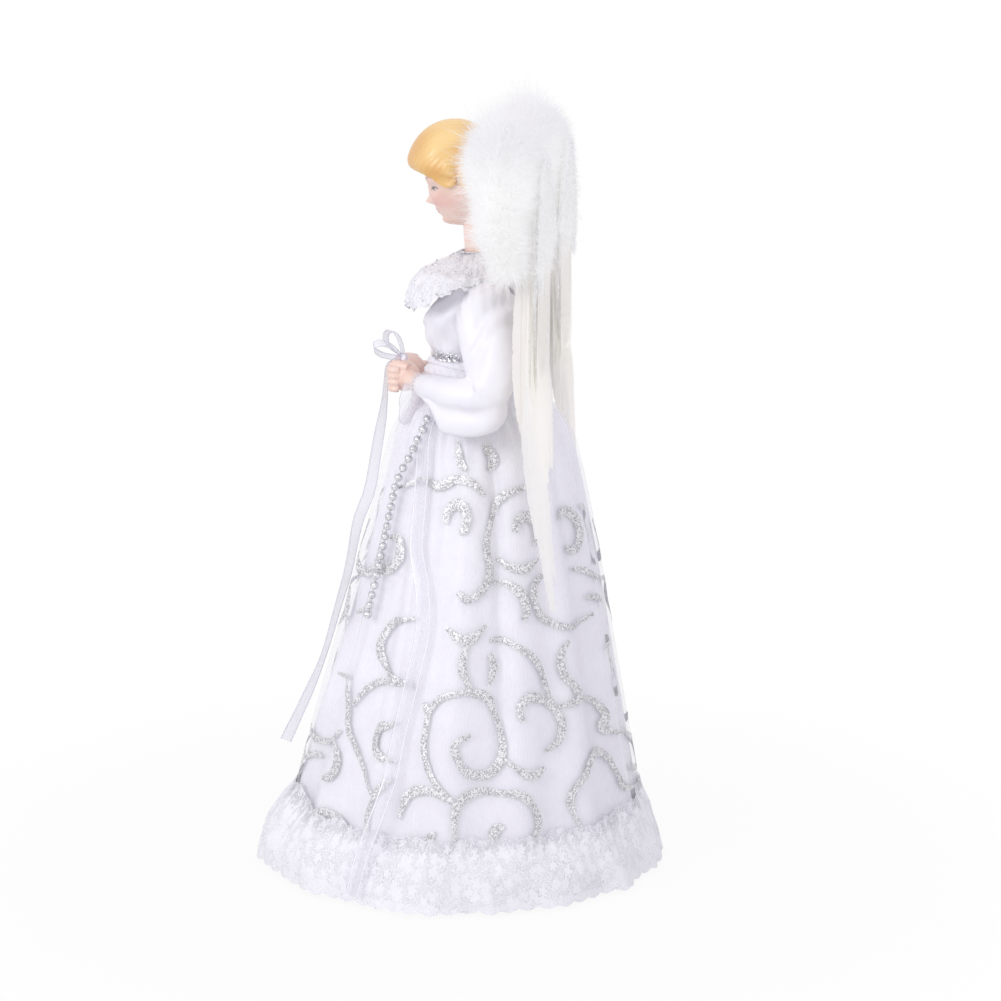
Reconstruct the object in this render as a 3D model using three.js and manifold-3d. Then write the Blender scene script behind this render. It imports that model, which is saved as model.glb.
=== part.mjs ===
import * as THREE from "three";
import { mergeVertices } from "three/addons/utils/BufferGeometryUtils.js";
import Module from "manifold-3d";

const wasm = await Module();
wasm.setup();

const TAU = 2 * Math.PI;
const { lerp, clamp, smoothstep, degToRad, radToDeg, euclideanModulo } = THREE.MathUtils;

// Driving dimensions in millimetres: the angel faces -Y, its left is +X, the floor is z = 0

const CLEARANCE = 0.35; // gap between pieces that touch
const CLOTH = 0.8; // wall of a cloth layer
const SET_BACK = 5; // the figure's axis behind the middle of the hem

const CONE_BASE_RADIUS = 68;
const CONE_TOP_RADIUS = 22;
const CONE_HEIGHT = 168;
const CONE_WALL = 1.4;
const RIM_FLOOR = 2;
const RIM_LIP = 1.2;
const RIM_LIP_HEIGHT = 6;
const RIM_LEDGE = 4;
const CAP_FLANGE = 2.5;
const CAP_SPIGOT = 10;
const SPINE_RADIUS = 3;
const SPINE_TAIL = 14; // spine below the torso
const SPINE_NECK = 10; // spine inside the bust

const HIP_RISE = 29; // cone cap to waist
const HIP_RADIUS = 18;
const WAIST_RADIUS = 15;
const BUST_RISE = 19; // waist to the widest part of the chest
const BUST_HALF_WIDTH = 17;
const BUST_HALF_DEPTH = 16;
const BUST_FORWARD = 3;
const BODICE_RISE = 35; // waist to the top of the shoulders
const SHOULDER_HALF_WIDTH = 18;
const SHOULDER_HALF_DEPTH = 11;

const PLATE_RISE = 8; // shoulder plate up to the foot of the neck
const NECK_RADIUS = 5.9;
const NECK_RISE = 11;
const HEAD_HALF_WIDTH = 14.5;
const FACE_DEPTH = 14;
const SKULL_DEPTH = 17;
const HEAD_HALF_HEIGHT = 19.5;
const HEAD_FORWARD = 6;
const HEAD_NOD = 16; // degrees that the face looks down
const HAIR_THICKNESS = 1.6;
const FRINGE = 5.4;
const NOSE = 2.6;

const SKIRT_EASE_HEM = 7; // skirt outside the cone at the floor
const SKIRT_EASE_WAIST = 16; // the same at the waist
const GATHER_HEIGHT = 30;
const BUSTLE = 2.5; // fullness that the skirt has behind
const FOLD_COUNT = 14;
const FOLD_DEPTH = 2.2;
const LAYER_GAP = 0.8;
const HEM_LIFT = 2; // overskirt above the floor
const UNDER_LIFT = 3;
const LACE_LIFT = 1;
const LACE_HEIGHT = 27;
const LACE_RUFFLES = 28;
const LACE_DEPTH = 1.8;
const SASH_BELOW = 6;
const SASH_ABOVE = 4;
const SASH_WALL = 1.8;
const SASH_PLEATS = 3;

const COLLAR_SWEEP = 104; // degrees each side of the front
const COLLAR_REACH = 11;
const COLLAR_DROP = 11;
const COLLAR_STAND = 1.2; // neckline above the foot of the neck
const COLLAR_RUFFLES = 9;
const COLLAR_RUFFLE_DEPTH = 1.3;
const BRAID_RADIUS = 1;

const SHOULDER_DROP = 9.5; // arm wire under the top of the shoulders
const WIRE_RADIUS = 0.9;
const SLEEVE_GAP = 0.7; // sleeve beside the bodice
const ELBOW_OUT = 25;
const FIST_X = 7;
const FIST_Y = -25.8;
const FIST_RISE = -29; // fist below the arm wire
const FIST_WIDTH = 11;
const FIST_LENGTH = 13.6;
const FIST_HEIGHT = 13;
const WRIST_RADIUS = 3.6;
const CUFF_FLARE = 2.6;
const THUMB_RISE = 3.9; // thumb above the middle of the fist
const THUMB_TOP = 2.8;

const BEAD_RADIUS = 1.5;
const BEAD_PITCH = 4;
const BEAD_COUNT = 21;
const BEAD_START = 17; // first bead below the waist
const BEAD_ANGLE = 45; // degrees left of the front
const RIBBON_WIDTH = 4.4;
const RIBBON_WALL = 0.5;
const SASH_TAIL_WIDTH = 6;
const KNOT_HALF_WIDTH = 2.6;
const KNOT_HALF_HEIGHT = 2;
const BOW_LOOP = 12;

const PLATE_HALF_WIDTH = 12;
const PLATE_HEIGHT = 26;
const PLATE_WALL = 1.6;
const HINGE_X = 7;
const WING_STANDOFF = 7; // wing layers behind the hinge
const KNUCKLE_RADIUS = 2.3;
const KNUCKLE_HEIGHT = 4;
const CARD_WALL = 1;
const FEATHER_WALL = 0.5;
const LONG_FEATHERS = 7;
const SHORT_FEATHERS = 4;
const LONG_TIP = 117; // height of the lowest feather tip
const SHORT_TIP = 176;
const FEATHER_WIDTH = 9.5;
const FEATHER_DROOP = 9; // how far the tips hang back
const BOA_THICKNESS = 23;

// Stations up the figure

const coneFoot = RIM_FLOOR + CLEARANCE;
const coneTop = coneFoot + CONE_HEIGHT;
const capSeat = coneTop + CLEARANCE;
const torsoFoot = capSeat + CAP_FLANGE + CLEARANCE;
const waist = torsoFoot + HIP_RISE;
const bustLine = waist + BUST_RISE;
const shoulder = waist + BODICE_RISE;
const plateFoot = shoulder + CLEARANCE;
const neckFoot = plateFoot + PLATE_RISE;
const headCentre = neckFoot + NECK_RISE + HEAD_HALF_HEIGHT + HAIR_THICKNESS;
const armHeight = shoulder - SHOULDER_DROP;
const armY = SET_BACK + SPINE_RADIUS + CLEARANCE + WIRE_RADIUS;

// Materials

const material = (color, roughness, metalness = 0) =>
  new THREE.MeshStandardMaterial({ color, roughness, metalness });
const CARD = () => material(0xd9d2c4, 0.9);
const PLASTIC = () => material(0xf1f0ec, 0.5);
const WOOD = () => material(0xc9a878, 0.8);
const SATIN = () => material(0xe9e6f2, 0.45);
const SHEER = () => material(0xf2f0fa, 0.6);
const LACE = () => material(0xf4f2f8, 0.9);
const SILVER = () => material(0xc4c4cc, 0.3, 0.9);
const SKIN = () => material(0xf3c9b4, 0.4);
const FEATHER = () => material(0xf3efe6, 0.85);
const WIRE = () => material(0x9a9a9e, 0.35, 0.9);
const STUFFING = () => material(0xeeeeea, 0.9);

// Solids

const group = new THREE.Group();

function add(name, geometry, surface) {
  const mesh = new THREE.Mesh(geometry, surface);
  mesh.name = name;
  group.add(mesh);
}

function volumeOf(points, faces) {
  let sum = 0;
  for (let i = 0; i < faces.length; i += 3) {
    const [a, b, c] = [points[faces[i]], points[faces[i + 1]], points[faces[i + 2]]];
    sum += a.dot(b.clone().cross(c));
  }
  return sum;
}

// A closed solid through rings of equal length: open paths end in a fan, endless ones join up
function loft(rings, endless = false) {
  const count = rings[0].length;
  const points = rings.flat();
  const faces = [];
  const spans = endless ? rings.length : rings.length - 1;
  for (let i = 0; i < spans; i++) {
    const next = (i + 1) % rings.length;
    for (let j = 0; j < count; j++) {
      const k = (j + 1) % count;
      const [a, b, c, d] = [i * count + j, i * count + k, next * count + k, next * count + j];
      faces.push(a, b, c, a, c, d);
    }
  }
  if (!endless) {
    for (const [ring, flip] of [[0, true], [rings.length - 1, false]]) {
      const centre = rings[ring].reduce((sum, p) => sum.add(p), new THREE.Vector3()).divideScalar(count);
      points.push(centre);
      for (let j = 0; j < count; j++) {
        const pair = [ring * count + j, ring * count + ((j + 1) % count)];
        faces.push(points.length - 1, ...(flip ? pair.reverse() : pair));
      }
    }
  }
  if (volumeOf(points, faces) < 0) {
    faces.reverse();
  }
  const geometry = new THREE.BufferGeometry().setFromPoints(points);
  geometry.setIndex(faces);
  geometry.computeVertexNormals();
  return geometry;
}

// An open-ended wall between an outer and an inner run of rings
const wall = (outer, inner) => loft([...outer, ...inner.slice().reverse()], true);

function solidOf(geometry) {
  const bare = geometry.index ? geometry.toNonIndexed() : geometry.clone();
  bare.deleteAttribute("normal");
  bare.deleteAttribute("uv");
  const merged = mergeVertices(bare, 1e-4);
  const mesh = new wasm.Mesh({
    numProp: 3,
    vertProperties: new Float32Array(merged.attributes.position.array),
    triVerts: new Uint32Array(merged.index.array),
  });
  return new wasm.Manifold(mesh);
}

function geometryOf(solid) {
  const mesh = solid.getMesh();
  const geometry = new THREE.BufferGeometry();
  geometry.setAttribute("position", new THREE.BufferAttribute(new Float32Array(mesh.vertProperties), 3));
  geometry.setIndex(new THREE.BufferAttribute(new Uint32Array(mesh.triVerts), 1));
  geometry.computeVertexNormals();
  return geometry;
}

const union = (geometries) => geometryOf(wasm.Manifold.union(geometries.map(solidOf)));
const cut = (body, ...tools) =>
  geometryOf(tools.reduce((solid, tool) => solid.subtract(solidOf(tool)), solidOf(body)));

const range = (count) => Array.from({ length: count }, (_, i) => i);
const fractions = (count) => range(count).map((i) => i / (count - 1));
const point = (x, y, z) => new THREE.Vector3(x, y, z);

function ellipse(x, y, z, halfWidth, halfDepth, sides) {
  return range(sides).map((j) => {
    const angle = (TAU * j) / sides;
    return point(x + halfWidth * Math.cos(angle), y + halfDepth * Math.sin(angle), z);
  });
}

function rodZ(x, y, low, high, radius, sides = 20) {
  const rod = new THREE.CylinderGeometry(radius, radius, high - low, sides);
  return rod.rotateX(Math.PI / 2).translate(x, y, (low + high) / 2);
}

function turned(profile, sides) {
  const points = profile.map(([radius, height]) => new THREE.Vector2(radius, height));
  return new THREE.LatheGeometry(points, sides).rotateX(Math.PI / 2);
}

function tube(path, radius, sides, steps) {
  const circle = new THREE.Shape(range(sides).map((j) => {
    const angle = (TAU * j) / sides;
    return new THREE.Vector2(radius * Math.cos(angle), radius * Math.sin(angle));
  }));
  return new THREE.ExtrudeGeometry(circle, { steps, extrudePath: path, bevelEnabled: false });
}

// Rings round a path: ringPoint gives each place from the path's centre and the direction out from it
function pathRings(curve, steps, sides, ringPoint) {
  const frames = curve.computeFrenetFrames(steps, false);
  return range(steps + 1).map((i) => {
    const t = i / steps;
    const centre = curve.getPointAt(t);
    return range(sides).map((j) => {
      const angle = (TAU * j) / sides;
      const out = frames.normals[i].clone().multiplyScalar(Math.cos(angle));
      out.addScaledVector(frames.binormals[i], Math.sin(angle));
      return ringPoint(t, centre, out, angle);
    });
  });
}

// A flat strip along a path: across(t) is the direction of its width, widthAt(t) the width there
function strip(curve, steps, widthAt, thickness, across) {
  const rings = fractions(steps + 1).map((t) => {
    const centre = curve.getPointAt(t);
    const side = across(t).clone();
    const tangent = curve.getTangentAt(t);
    side.addScaledVector(tangent, -side.dot(tangent)).normalize();
    const face = tangent.clone().cross(side);
    side.multiplyScalar(widthAt(t) / 2);
    face.multiplyScalar(thickness / 2);
    return [[-1, -1], [1, -1], [1, 1], [-1, 1]].map(([s, f]) =>
      centre.clone().addScaledVector(side, s).addScaledVector(face, f));
  });
  return loft(rings);
}

// The numbers between a run of [place, value] pairs, eased
function along(stops, t) {
  const last = stops.findIndex(([place]) => place >= t);
  if (last <= 0) {
    return stops[last === 0 ? 0 : stops.length - 1][1];
  }
  const [[t0, v0], [t1, v1]] = [stops[last - 1], stops[last]];
  return lerp(v0, v1, smoothstep(t, t0, t1));
}

// Card cone: leans back a little, so that the waist sits behind the middle of the hem

const lean = new THREE.Matrix4().makeShear(0, 0, 0, 0, 0, SET_BACK / coneTop);
const CONE_SIDES = 40;

add("card_cone", turned([
  [CONE_BASE_RADIUS - CONE_WALL, coneFoot],
  [CONE_BASE_RADIUS, coneFoot],
  [CONE_TOP_RADIUS, coneTop],
  [CONE_TOP_RADIUS - CONE_WALL, coneTop],
  [CONE_BASE_RADIUS - CONE_WALL, coneFoot],
], CONE_SIDES).applyMatrix4(lean), CARD());

const coneSlope = (CONE_BASE_RADIUS - CONE_TOP_RADIUS) / CONE_HEIGHT;
const lipInside = CONE_BASE_RADIUS + CLEARANCE;
add("base_rim", turned([
  [CONE_BASE_RADIUS - CONE_WALL - RIM_LEDGE, 0],
  [lipInside + RIM_LIP, 0],
  [lipInside + RIM_LIP, RIM_LIP_HEIGHT],
  [lipInside, RIM_LIP_HEIGHT],
  [lipInside, RIM_FLOOR],
  [CONE_BASE_RADIUS - CONE_WALL - RIM_LEDGE, RIM_FLOOR],
  [CONE_BASE_RADIUS - CONE_WALL - RIM_LEDGE, 0],
], CONE_SIDES).applyMatrix4(lean), PLASTIC());

const boreRadius = SPINE_RADIUS + CLEARANCE;
const spigotRadius = CONE_TOP_RADIUS - CONE_WALL - CLEARANCE;
add("cone_cap", turned([
  [boreRadius, capSeat - CAP_SPIGOT],
  [spigotRadius, capSeat - CAP_SPIGOT],
  [spigotRadius, capSeat],
  [CONE_TOP_RADIUS, capSeat],
  [CONE_TOP_RADIUS, capSeat + CAP_FLANGE],
  [boreRadius, capSeat + CAP_FLANGE],
  [boreRadius, capSeat - CAP_SPIGOT],
], 36).translate(0, SET_BACK, 0), WOOD());

const spineFoot = torsoFoot - SPINE_TAIL;
const spineTop = plateFoot + SPINE_NECK;
add("spine_rod", rodZ(0, SET_BACK, spineFoot, spineTop, SPINE_RADIUS), WOOD());

// Torso and bodice share one section, which swells at the chest and flattens at the shoulders

function torsoRing(z, offset, sides) {
  const chest = smoothstep(z, waist, bustLine);
  const top = smoothstep(z, bustLine, shoulder);
  const hip = 1 - smoothstep(z, torsoFoot, waist);
  const round = WAIST_RADIUS + (HIP_RADIUS - WAIST_RADIUS) * hip;
  const halfWidth = lerp(lerp(round, BUST_HALF_WIDTH, chest), SHOULDER_HALF_WIDTH, top);
  const halfDepth = lerp(lerp(round, BUST_HALF_DEPTH, chest), SHOULDER_HALF_DEPTH, top);
  const forward = BUST_FORWARD * chest * (1 - top);
  return ellipse(0, SET_BACK - forward, z, halfWidth + offset, halfDepth + offset, sides);
}

const TORSO_SIDES = 20;
const wireBore = new THREE.CylinderGeometry(WIRE_RADIUS + CLEARANCE, WIRE_RADIUS + CLEARANCE, 60, 12);
wireBore.rotateZ(Math.PI / 2).translate(0, armY, armHeight);

const chestLevels = fractions(6).map((t) => lerp(waist, shoulder, t));
const torsoLevels = [torsoFoot, (torsoFoot + waist) / 2, ...chestLevels];
const torsoBody = loft(torsoLevels.map((z) => torsoRing(z, 0, TORSO_SIDES)));
const spineBore = rodZ(0, SET_BACK, torsoFoot - 1, shoulder + 1, boreRadius, 16);
add("torso_core", cut(torsoBody, spineBore, wireBore), STUFFING());

const bodiceBody = wall(
  chestLevels.map((z) => torsoRing(z, CLEARANCE + CLOTH, TORSO_SIDES)),
  chestLevels.map((z) => torsoRing(z, CLEARANCE, TORSO_SIDES)),
).translate(0, 0, CLEARANCE);
add("bodice", cut(bodiceBody, wireBore), SATIN());

// Head, neck and shoulder plate in one casting; the hair is moulded on

function headPoint(round, down) {
  const turn = TAU * round;
  const side = turn - 0.4 * Math.sin(turn); // columns crowd round the face
  const fall = Math.PI * down;
  const ring = Math.sin(fall);
  const forward = Math.cos(side) > 0 ? FACE_DEPTH * ring ** 0.75 : SKULL_DEPTH * ring;
  const p = point(
    HEAD_HALF_WIDTH * ring * Math.sin(side),
    -forward * Math.cos(side),
    HEAD_HALF_HEIGHT * Math.cos(fall),
  );
  const face = Math.max(0, Math.cos(side)) * ring ** 0.5;
  const low = clamp(-p.z / HEAD_HALF_HEIGHT, 0, 1);
  p.x *= 1 - 0.3 * low * low;
  p.y *= Math.cos(side) < 0 ? 1 - 0.3 * low : 1 - 0.12 * low;
  const bump = (acrossAt, acrossSize, up, upSize) =>
    face * Math.exp(-(((Math.abs(p.x) - acrossAt) / acrossSize) ** 2) - (((p.z - up) / upSize) ** 2));
  const features =
    NOSE * bump(0, 1.8, -5, 2.6) + 0.9 * bump(0, 3.2, -10, 1.3) + 2.2 * bump(0, 4.5, -16, 3)
    - 1.1 * bump(5.2, 2.6, -1.5, 2) + 0.6 * bump(5, 4, 2, 1.6) + 0.7 * bump(7, 4, -7, 3.5);
  const hairline = lerp(0.36, -0.55, Math.sin(side / 2) ** 2) * HEAD_HALF_HEIGHT;
  const hair = smoothstep(p.z, hairline - 0.8, hairline + 0.8);
  const roll = Math.exp(-((side / 0.9) ** 2) - (((p.z - 0.5 * HEAD_HALF_HEIGHT) / 4.5) ** 2));
  const out = p.clone().normalize();
  p.y -= features;
  return p.addScaledVector(out, HAIR_THICKNESS * hair + FRINGE * roll);
}

const HEAD_SIDES = 28;
const HEAD_LEVELS = 18;
const headRings = range(HEAD_LEVELS).map((i) => range(HEAD_SIDES).map((j) =>
  headPoint(j / HEAD_SIDES - 0.5, (i + 0.5) / HEAD_LEVELS)));
const headBody = loft(headRings)
  .rotateX(degToRad(HEAD_NOD))
  .translate(0, SET_BACK - HEAD_FORWARD, headCentre);
const neckTop = headCentre - HEAD_HALF_HEIGHT / 3;
const neckY = (t) => SET_BACK + 0.8 - 0.3 * HEAD_FORWARD * t;
const neckBody = loft([0, 0.5, 1].map((t) =>
  ellipse(0, neckY(t), lerp(plateFoot + 1, neckTop, t), NECK_RADIUS, NECK_RADIUS, 20)));
const plateBody = loft(fractions(5).map((t) => ellipse(
  0, SET_BACK, lerp(plateFoot, neckFoot, t),
  lerp(SHOULDER_HALF_WIDTH, NECK_RADIUS + 1, t ** 1.6),
  lerp(SHOULDER_HALF_DEPTH, NECK_RADIUS + 0.5, t ** 1.6), 24)));
const bustSocket = rodZ(0, SET_BACK, plateFoot - 1, spineTop + CLEARANCE, boreRadius, 16);
add("head_bust", cut(union([headBody, neckBody, plateBody]), bustSocket), SKIN());

// Skirts: one draped surface, with the layers nested at set distances from it

const waistSurface = WAIST_RADIUS + CLEARANCE + CLOTH + LAYER_GAP;
const bustleAt = (z) => BUSTLE * Math.sin(Math.PI * clamp(z / waist, 0, 1) ** 2);
const axisAt = (z) => SET_BACK * Math.min(1, z / coneTop) + bustleAt(z);
const foldReach = (z) => FOLD_DEPTH * Math.max(0, 1 - z / waist) ** 0.7;

function skirtRadius(z) {
  const coneLine = CONE_BASE_RADIUS - coneSlope * (z - coneFoot);
  const hung = coneLine + lerp(SKIRT_EASE_HEM, SKIRT_EASE_WAIST, z / waist);
  const drop = clamp((waist - z) / GATHER_HEIGHT, 0, 1);
  return lerp(waistSurface, hung, Math.sin(drop * Math.PI / 2));
}

const SKIRT_SIDES = 120;
const foldAt = (angle) => 0.75 * Math.cos(FOLD_COUNT * angle) + 0.25 * Math.cos(5 * angle + 1);

// Long soft folds: degrees left of the front, how far each stands out or falls in, half-width in degrees
const PLEATS = [
  [92, 1.5, 13], [106, -2.3, 3.6], [121, 1, 10], [147, -1.7, 5], [160, 1.3, 8], [175, -1.9, 5],
  [73, 0.9, 5], [65, -1.7, 3.2], [55, -1.3, 3], [44, 1.2, 8], [30, -1.6, 4], [14, 1.3, 8], [0, -1.6, 5],
  [-16, 1.2, 9], [-34, -1.8, 4], [-52, 1.3, 9], [-70, -1.7, 5], [-90, 1.5, 10], [-108, -2.1, 4],
  [-128, 1.3, 10], [-146, -1.7, 5], [-162, 1.2, 8],
];
const pleatFoot = LACE_LIFT + LACE_HEIGHT + 2;
const pleatHead = waist - SASH_BELOW;

// The folds hang from below the sash and die out above the lace, and drift a little on the way down
function pleatAt(degrees, z) {
  const hang = smoothstep(z, pleatFoot, pleatFoot + 45) * smoothstep(pleatHead - z, 0, GATHER_HEIGHT);
  const place = degrees - 3 * Math.sin(4.5 * z / waist);
  return hang * PLEATS.reduce((total, [centre, reach, width]) => {
    const off = euclideanModulo(place - centre + 180, 360) - 180;
    return total + reach * Math.exp(-((off / width) ** 2));
  }, 0);
}

function skirtRing(z, offset) {
  return range(SKIRT_SIDES).map((j) => {
    const angle = (TAU * j) / SKIRT_SIDES;
    const pleat = pleatAt(radToDeg(angle) + 90, z);
    const radius = skirtRadius(z) + foldReach(z) * foldAt(angle) + pleat + offset;
    return point(radius * Math.cos(angle), radius * Math.sin(angle) + axisAt(z), z);
  });
}

const skirtLevels = (low) => [
  low, pleatFoot, ...[0.3, 0.5, 0.7, 0.84, 0.93, 1].map((t) => lerp(low, waist, t)),
];
const skirt = (low, inside) => wall(
  skirtLevels(low).map((z) => skirtRing(z, inside + CLOTH)),
  skirtLevels(low).map((z) => skirtRing(z, inside)),
);
add("underskirt", skirt(UNDER_LIFT, -LAYER_GAP - CLOTH), SATIN());
add("overskirt", skirt(HEM_LIFT, 0), SHEER());

const LACE_SIDES = LACE_RUFFLES * 3;
const laceInside = CLOTH + CLEARANCE;
function laceRing(t, offset) {
  const z = lerp(LACE_LIFT, LACE_LIFT + LACE_HEIGHT, t);
  return range(LACE_SIDES).map((j) => {
    const angle = (TAU * j) / LACE_SIDES;
    const ruffle = LACE_DEPTH * (1 - 0.8 * t) * (0.5 + 0.5 * Math.cos(LACE_RUFFLES * angle));
    const radius = skirtRadius(z) + foldReach(z) + laceInside + ruffle + offset;
    return point(radius * Math.cos(angle), radius * Math.sin(angle) + axisAt(z), z);
  });
}
const laceLevels = [0, 0.5, 1];
add("hem_lace", wall(
  laceLevels.map((t) => laceRing(t, CLOTH)),
  laceLevels.map((t) => laceRing(t, 0)),
), LACE());

const sashInside = (z) =>
  skirtRadius(Math.min(z, waist)) + foldReach(Math.min(z, waist)) + CLOTH + 2 * CLEARANCE;
const sashLevels = fractions(SASH_PLEATS * 2 + 1);
const sashZ = (t) => lerp(waist - SASH_BELOW, waist + SASH_ABOVE, t);
const sashOutside = (t) =>
  sashInside(sashZ(t)) + SASH_WALL * (0.5 + 0.5 * Math.abs(Math.sin(Math.PI * SASH_PLEATS * t)));
add("sash", turned([
  ...sashLevels.map((t) => [sashOutside(t), sashZ(t)]),
  ...[1, 0.6, 0.3, 0].map((t) => [sashInside(sashZ(t)), sashZ(t)]),
  [sashOutside(0), sashZ(0)],
], 28).translate(0, SET_BACK, 0), SATIN());

// Collar: a yoke from the neck over the shoulders, with a ruffled edge, open at the back

const collarAngles = fractions(37).map((t) => degToRad(lerp(-COLLAR_SWEEP, COLLAR_SWEEP, t)));
const collarNeck = NECK_RADIUS + 3 * CLEARANCE;
const collarWidth = SHOULDER_HALF_WIDTH + 2 * CLEARANCE;
const collarDepth = SHOULDER_HALF_DEPTH + 2 * CLEARANCE;

// Angles are counted from the front; the neck is a circle, the shoulder line an ellipse
function collarPoint(angle, spread, reach, z) {
  const front = Math.cos(angle);
  const out = reach * (1 + 0.35 * Math.max(0, front));
  return point(
    (lerp(collarNeck, collarWidth, spread) + reach) * Math.sin(angle),
    SET_BACK + 0.4 - (lerp(collarNeck, collarDepth, spread) + out) * front,
    z,
  );
}

const yokeTop = neckFoot + COLLAR_STAND;
const yokeFoot = shoulder + 3 * CLEARANCE + 1;
const collarRings = collarAngles.map((angle) => {
  const front = smoothstep(Math.cos(angle), 0.1, 0.9);
  const ruffle = COLLAR_RUFFLE_DEPTH * Math.cos(2 * COLLAR_RUFFLES * angle);
  const drop = lerp(0.2, 1, front) * COLLAR_DROP;
  const reach = lerp(0.75, 1, front) * COLLAR_REACH;
  return [
    collarPoint(angle, 0, 0, yokeTop + CLOTH),
    collarPoint(angle, 1, 0.1 * reach, yokeFoot + CLOTH),
    collarPoint(angle, 1, 0.7 * reach, yokeFoot - 0.2 * drop + CLOTH),
    collarPoint(angle, 1, reach + ruffle + CLOTH, yokeFoot - drop),
    collarPoint(angle, 1, reach + ruffle, yokeFoot - drop),
    collarPoint(angle, 1, 0.7 * reach - CLOTH / 2, yokeFoot - 0.2 * drop),
    collarPoint(angle, 1, 0.1 * reach, yokeFoot),
    collarPoint(angle, 0, 0, yokeTop),
  ];
});
add("collar_lace", loft(collarRings), LACE());

const braidRings = collarAngles.filter((_, i) => i % 2 === 0).map((angle) => range(6).map((j) => {
  const turn = (TAU * j) / 6;
  const z = yokeTop + CLOTH + CLEARANCE + BRAID_RADIUS * (1 + Math.sin(turn));
  return collarPoint(angle, 0, BRAID_RADIUS * (0.7 + Math.cos(turn)), z);
}));
add("neckline_braid", loft(braidRings), SILVER());

// Trim on the skirt: every place is an angle from the front towards the left, and a height

function onSkirt(degrees, z, offset) {
  const angle = degToRad(degrees);
  const crest = Math.max(...[-4, 0, 4].map((aside) =>
    foldReach(z) * (foldAt(degToRad(degrees + aside - 90)) + 0.2) + pleatAt(degrees + aside, z)));
  const radius = skirtRadius(z) + crest + CLOTH + offset;
  return point(radius * Math.sin(angle), axisAt(z) - radius * Math.cos(angle), z);
}

const beadTop = waist - BEAD_START;
const beadPlaces = range(BEAD_COUNT).map((i) =>
  onSkirt(BEAD_ANGLE, beadTop - i * BEAD_PITCH * 0.96, CLEARANCE + BEAD_RADIUS));
const beadPath = new THREE.CatmullRomCurve3(beadPlaces);
const beadRings = pathRings(beadPath, 4 * (BEAD_COUNT - 1), 6, (t, centre, out) => {
  const swell = Math.abs(Math.cos(Math.PI * t * (BEAD_COUNT - 1)));
  return centre.clone().addScaledVector(out, BEAD_RADIUS * lerp(0.3, 1, swell));
});
add("bead_strand", loft(beadRings), SILVER());

// The ribbon end runs from the sash over the lace; its angle sways on the way down
const laceTop = LACE_LIFT + LACE_HEIGHT;
const laceReach = laceInside + LACE_DEPTH + CLOTH;
const tailTop = waist - SASH_BELOW - CLEARANCE - 1;
const tailPath = new THREE.CatmullRomCurve3(fractions(14).map((t) => {
  const z = lerp(tailTop, 2 * LACE_LIFT + 3, t);
  const overLace = laceReach * (1 - smoothstep(z, laceTop, laceTop + 16));
  const sway = along([[0, 57], [0.25, 62], [0.45, 74], [0.75, 70], [1, 65]], t);
  return onSkirt(sway, z, overLace + 1.2 * CLEARANCE + RIBBON_WALL / 2);
}));
const tailAcross = (t) => {
  const p = tailPath.getPointAt(t);
  return point(SET_BACK - p.y, p.x, 0).normalize();
};
add("sash_tail", strip(tailPath, 28, () => SASH_TAIL_WIDTH, RIBBON_WALL, tailAcross), SHEER());

// Silver spray: leaves in pairs along the waist, from the front to the left side
const sprayHeight = waist + SASH_ABOVE + CLEARANCE + 2.4;
const sprayBase = waistSurface + SASH_WALL;
function sprayPlace(degrees, lift, out) {
  const angle = degToRad(degrees);
  const radius = sprayBase + out;
  return point(radius * Math.sin(angle), SET_BACK - radius * Math.cos(angle), sprayHeight + lift);
}
const leaf = (degrees, lift, tilt, length) => {
  const place = sprayPlace(degrees, lift, 0);
  return new THREE.SphereGeometry(1, 6, 4)
    .scale(length, 0.9, 1.2)
    .rotateY(tilt)
    .rotateZ(degToRad(degrees))
    .translate(place.x, place.y, place.z);
};
const sprayStem = new THREE.CatmullRomCurve3(range(9).map((i) => sprayPlace(12 + 8 * i, 0, 0)));
const sprayLeaves = range(4).flatMap((i) => [
  leaf(18 + 16 * i, 1.1, -0.6, 2.6),
  leaf(24 + 16 * i, -1.1, 0.6, 2.6),
]);
add("waist_spray", union([tube(sprayStem, 0.7, 4, 8), ...sprayLeaves]), SILVER());

// Arms: one wire runs from hand to hand through the shoulders, with a sleeve on each side

const sleeveStart = Math.max(SHOULDER_HALF_WIDTH, BUST_HALF_WIDTH) + CLEARANCE + CLOTH + SLEEVE_GAP;
const fist = point(FIST_X, FIST_Y, armHeight + FIST_RISE);
const elbow = point(sleeveStart + ELBOW_OUT, armY + 4, armHeight - 31);

const armPlaces = (side) => [
  point(side * sleeveStart, armY, armHeight),
  point(side * (sleeveStart + 4), armY, armHeight - 0.4),
  point(side * (sleeveStart + 14), armY + 3, armHeight - 9),
  point(side * (elbow.x - 2), elbow.y + 1, lerp(armHeight, elbow.z, 0.66)),
  point(side * elbow.x, elbow.y - 2, elbow.z),
  point(side * (elbow.x - 1), lerp(elbow.y, fist.y, 0.33), elbow.z - 3),
  point(side * lerp(elbow.x, fist.x, 0.22), lerp(elbow.y, fist.y, 0.66), elbow.z - 2),
  point(side * (fist.x + 9.5), fist.y + 5.2, fist.z - 1.5),
];
const wristStart = (side, back) =>
  point(side * (fist.x + 14 + back), fist.y + 7 + 0.55 * back, fist.z - 1.9);
const wristPath = (side) => new THREE.CatmullRomCurve3([
  wristStart(side, 0),
  point(side * (fist.x + 8), fist.y + 4.4, fist.z - 1.4),
  point(side * (fist.x + 4), fist.y + 2.2, fist.z - 0.6),
]);
const cuffPath = (side) => new THREE.CatmullRomCurve3([
  point(side * (fist.x + 8.4), fist.y + 4.6, fist.z - 1.4),
  point(side * (fist.x + 6.2), fist.y + 3.4, fist.z - 1.1),
  point(side * (fist.x + 4.2), fist.y + 2.3, fist.z - 0.7),
]);

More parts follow.
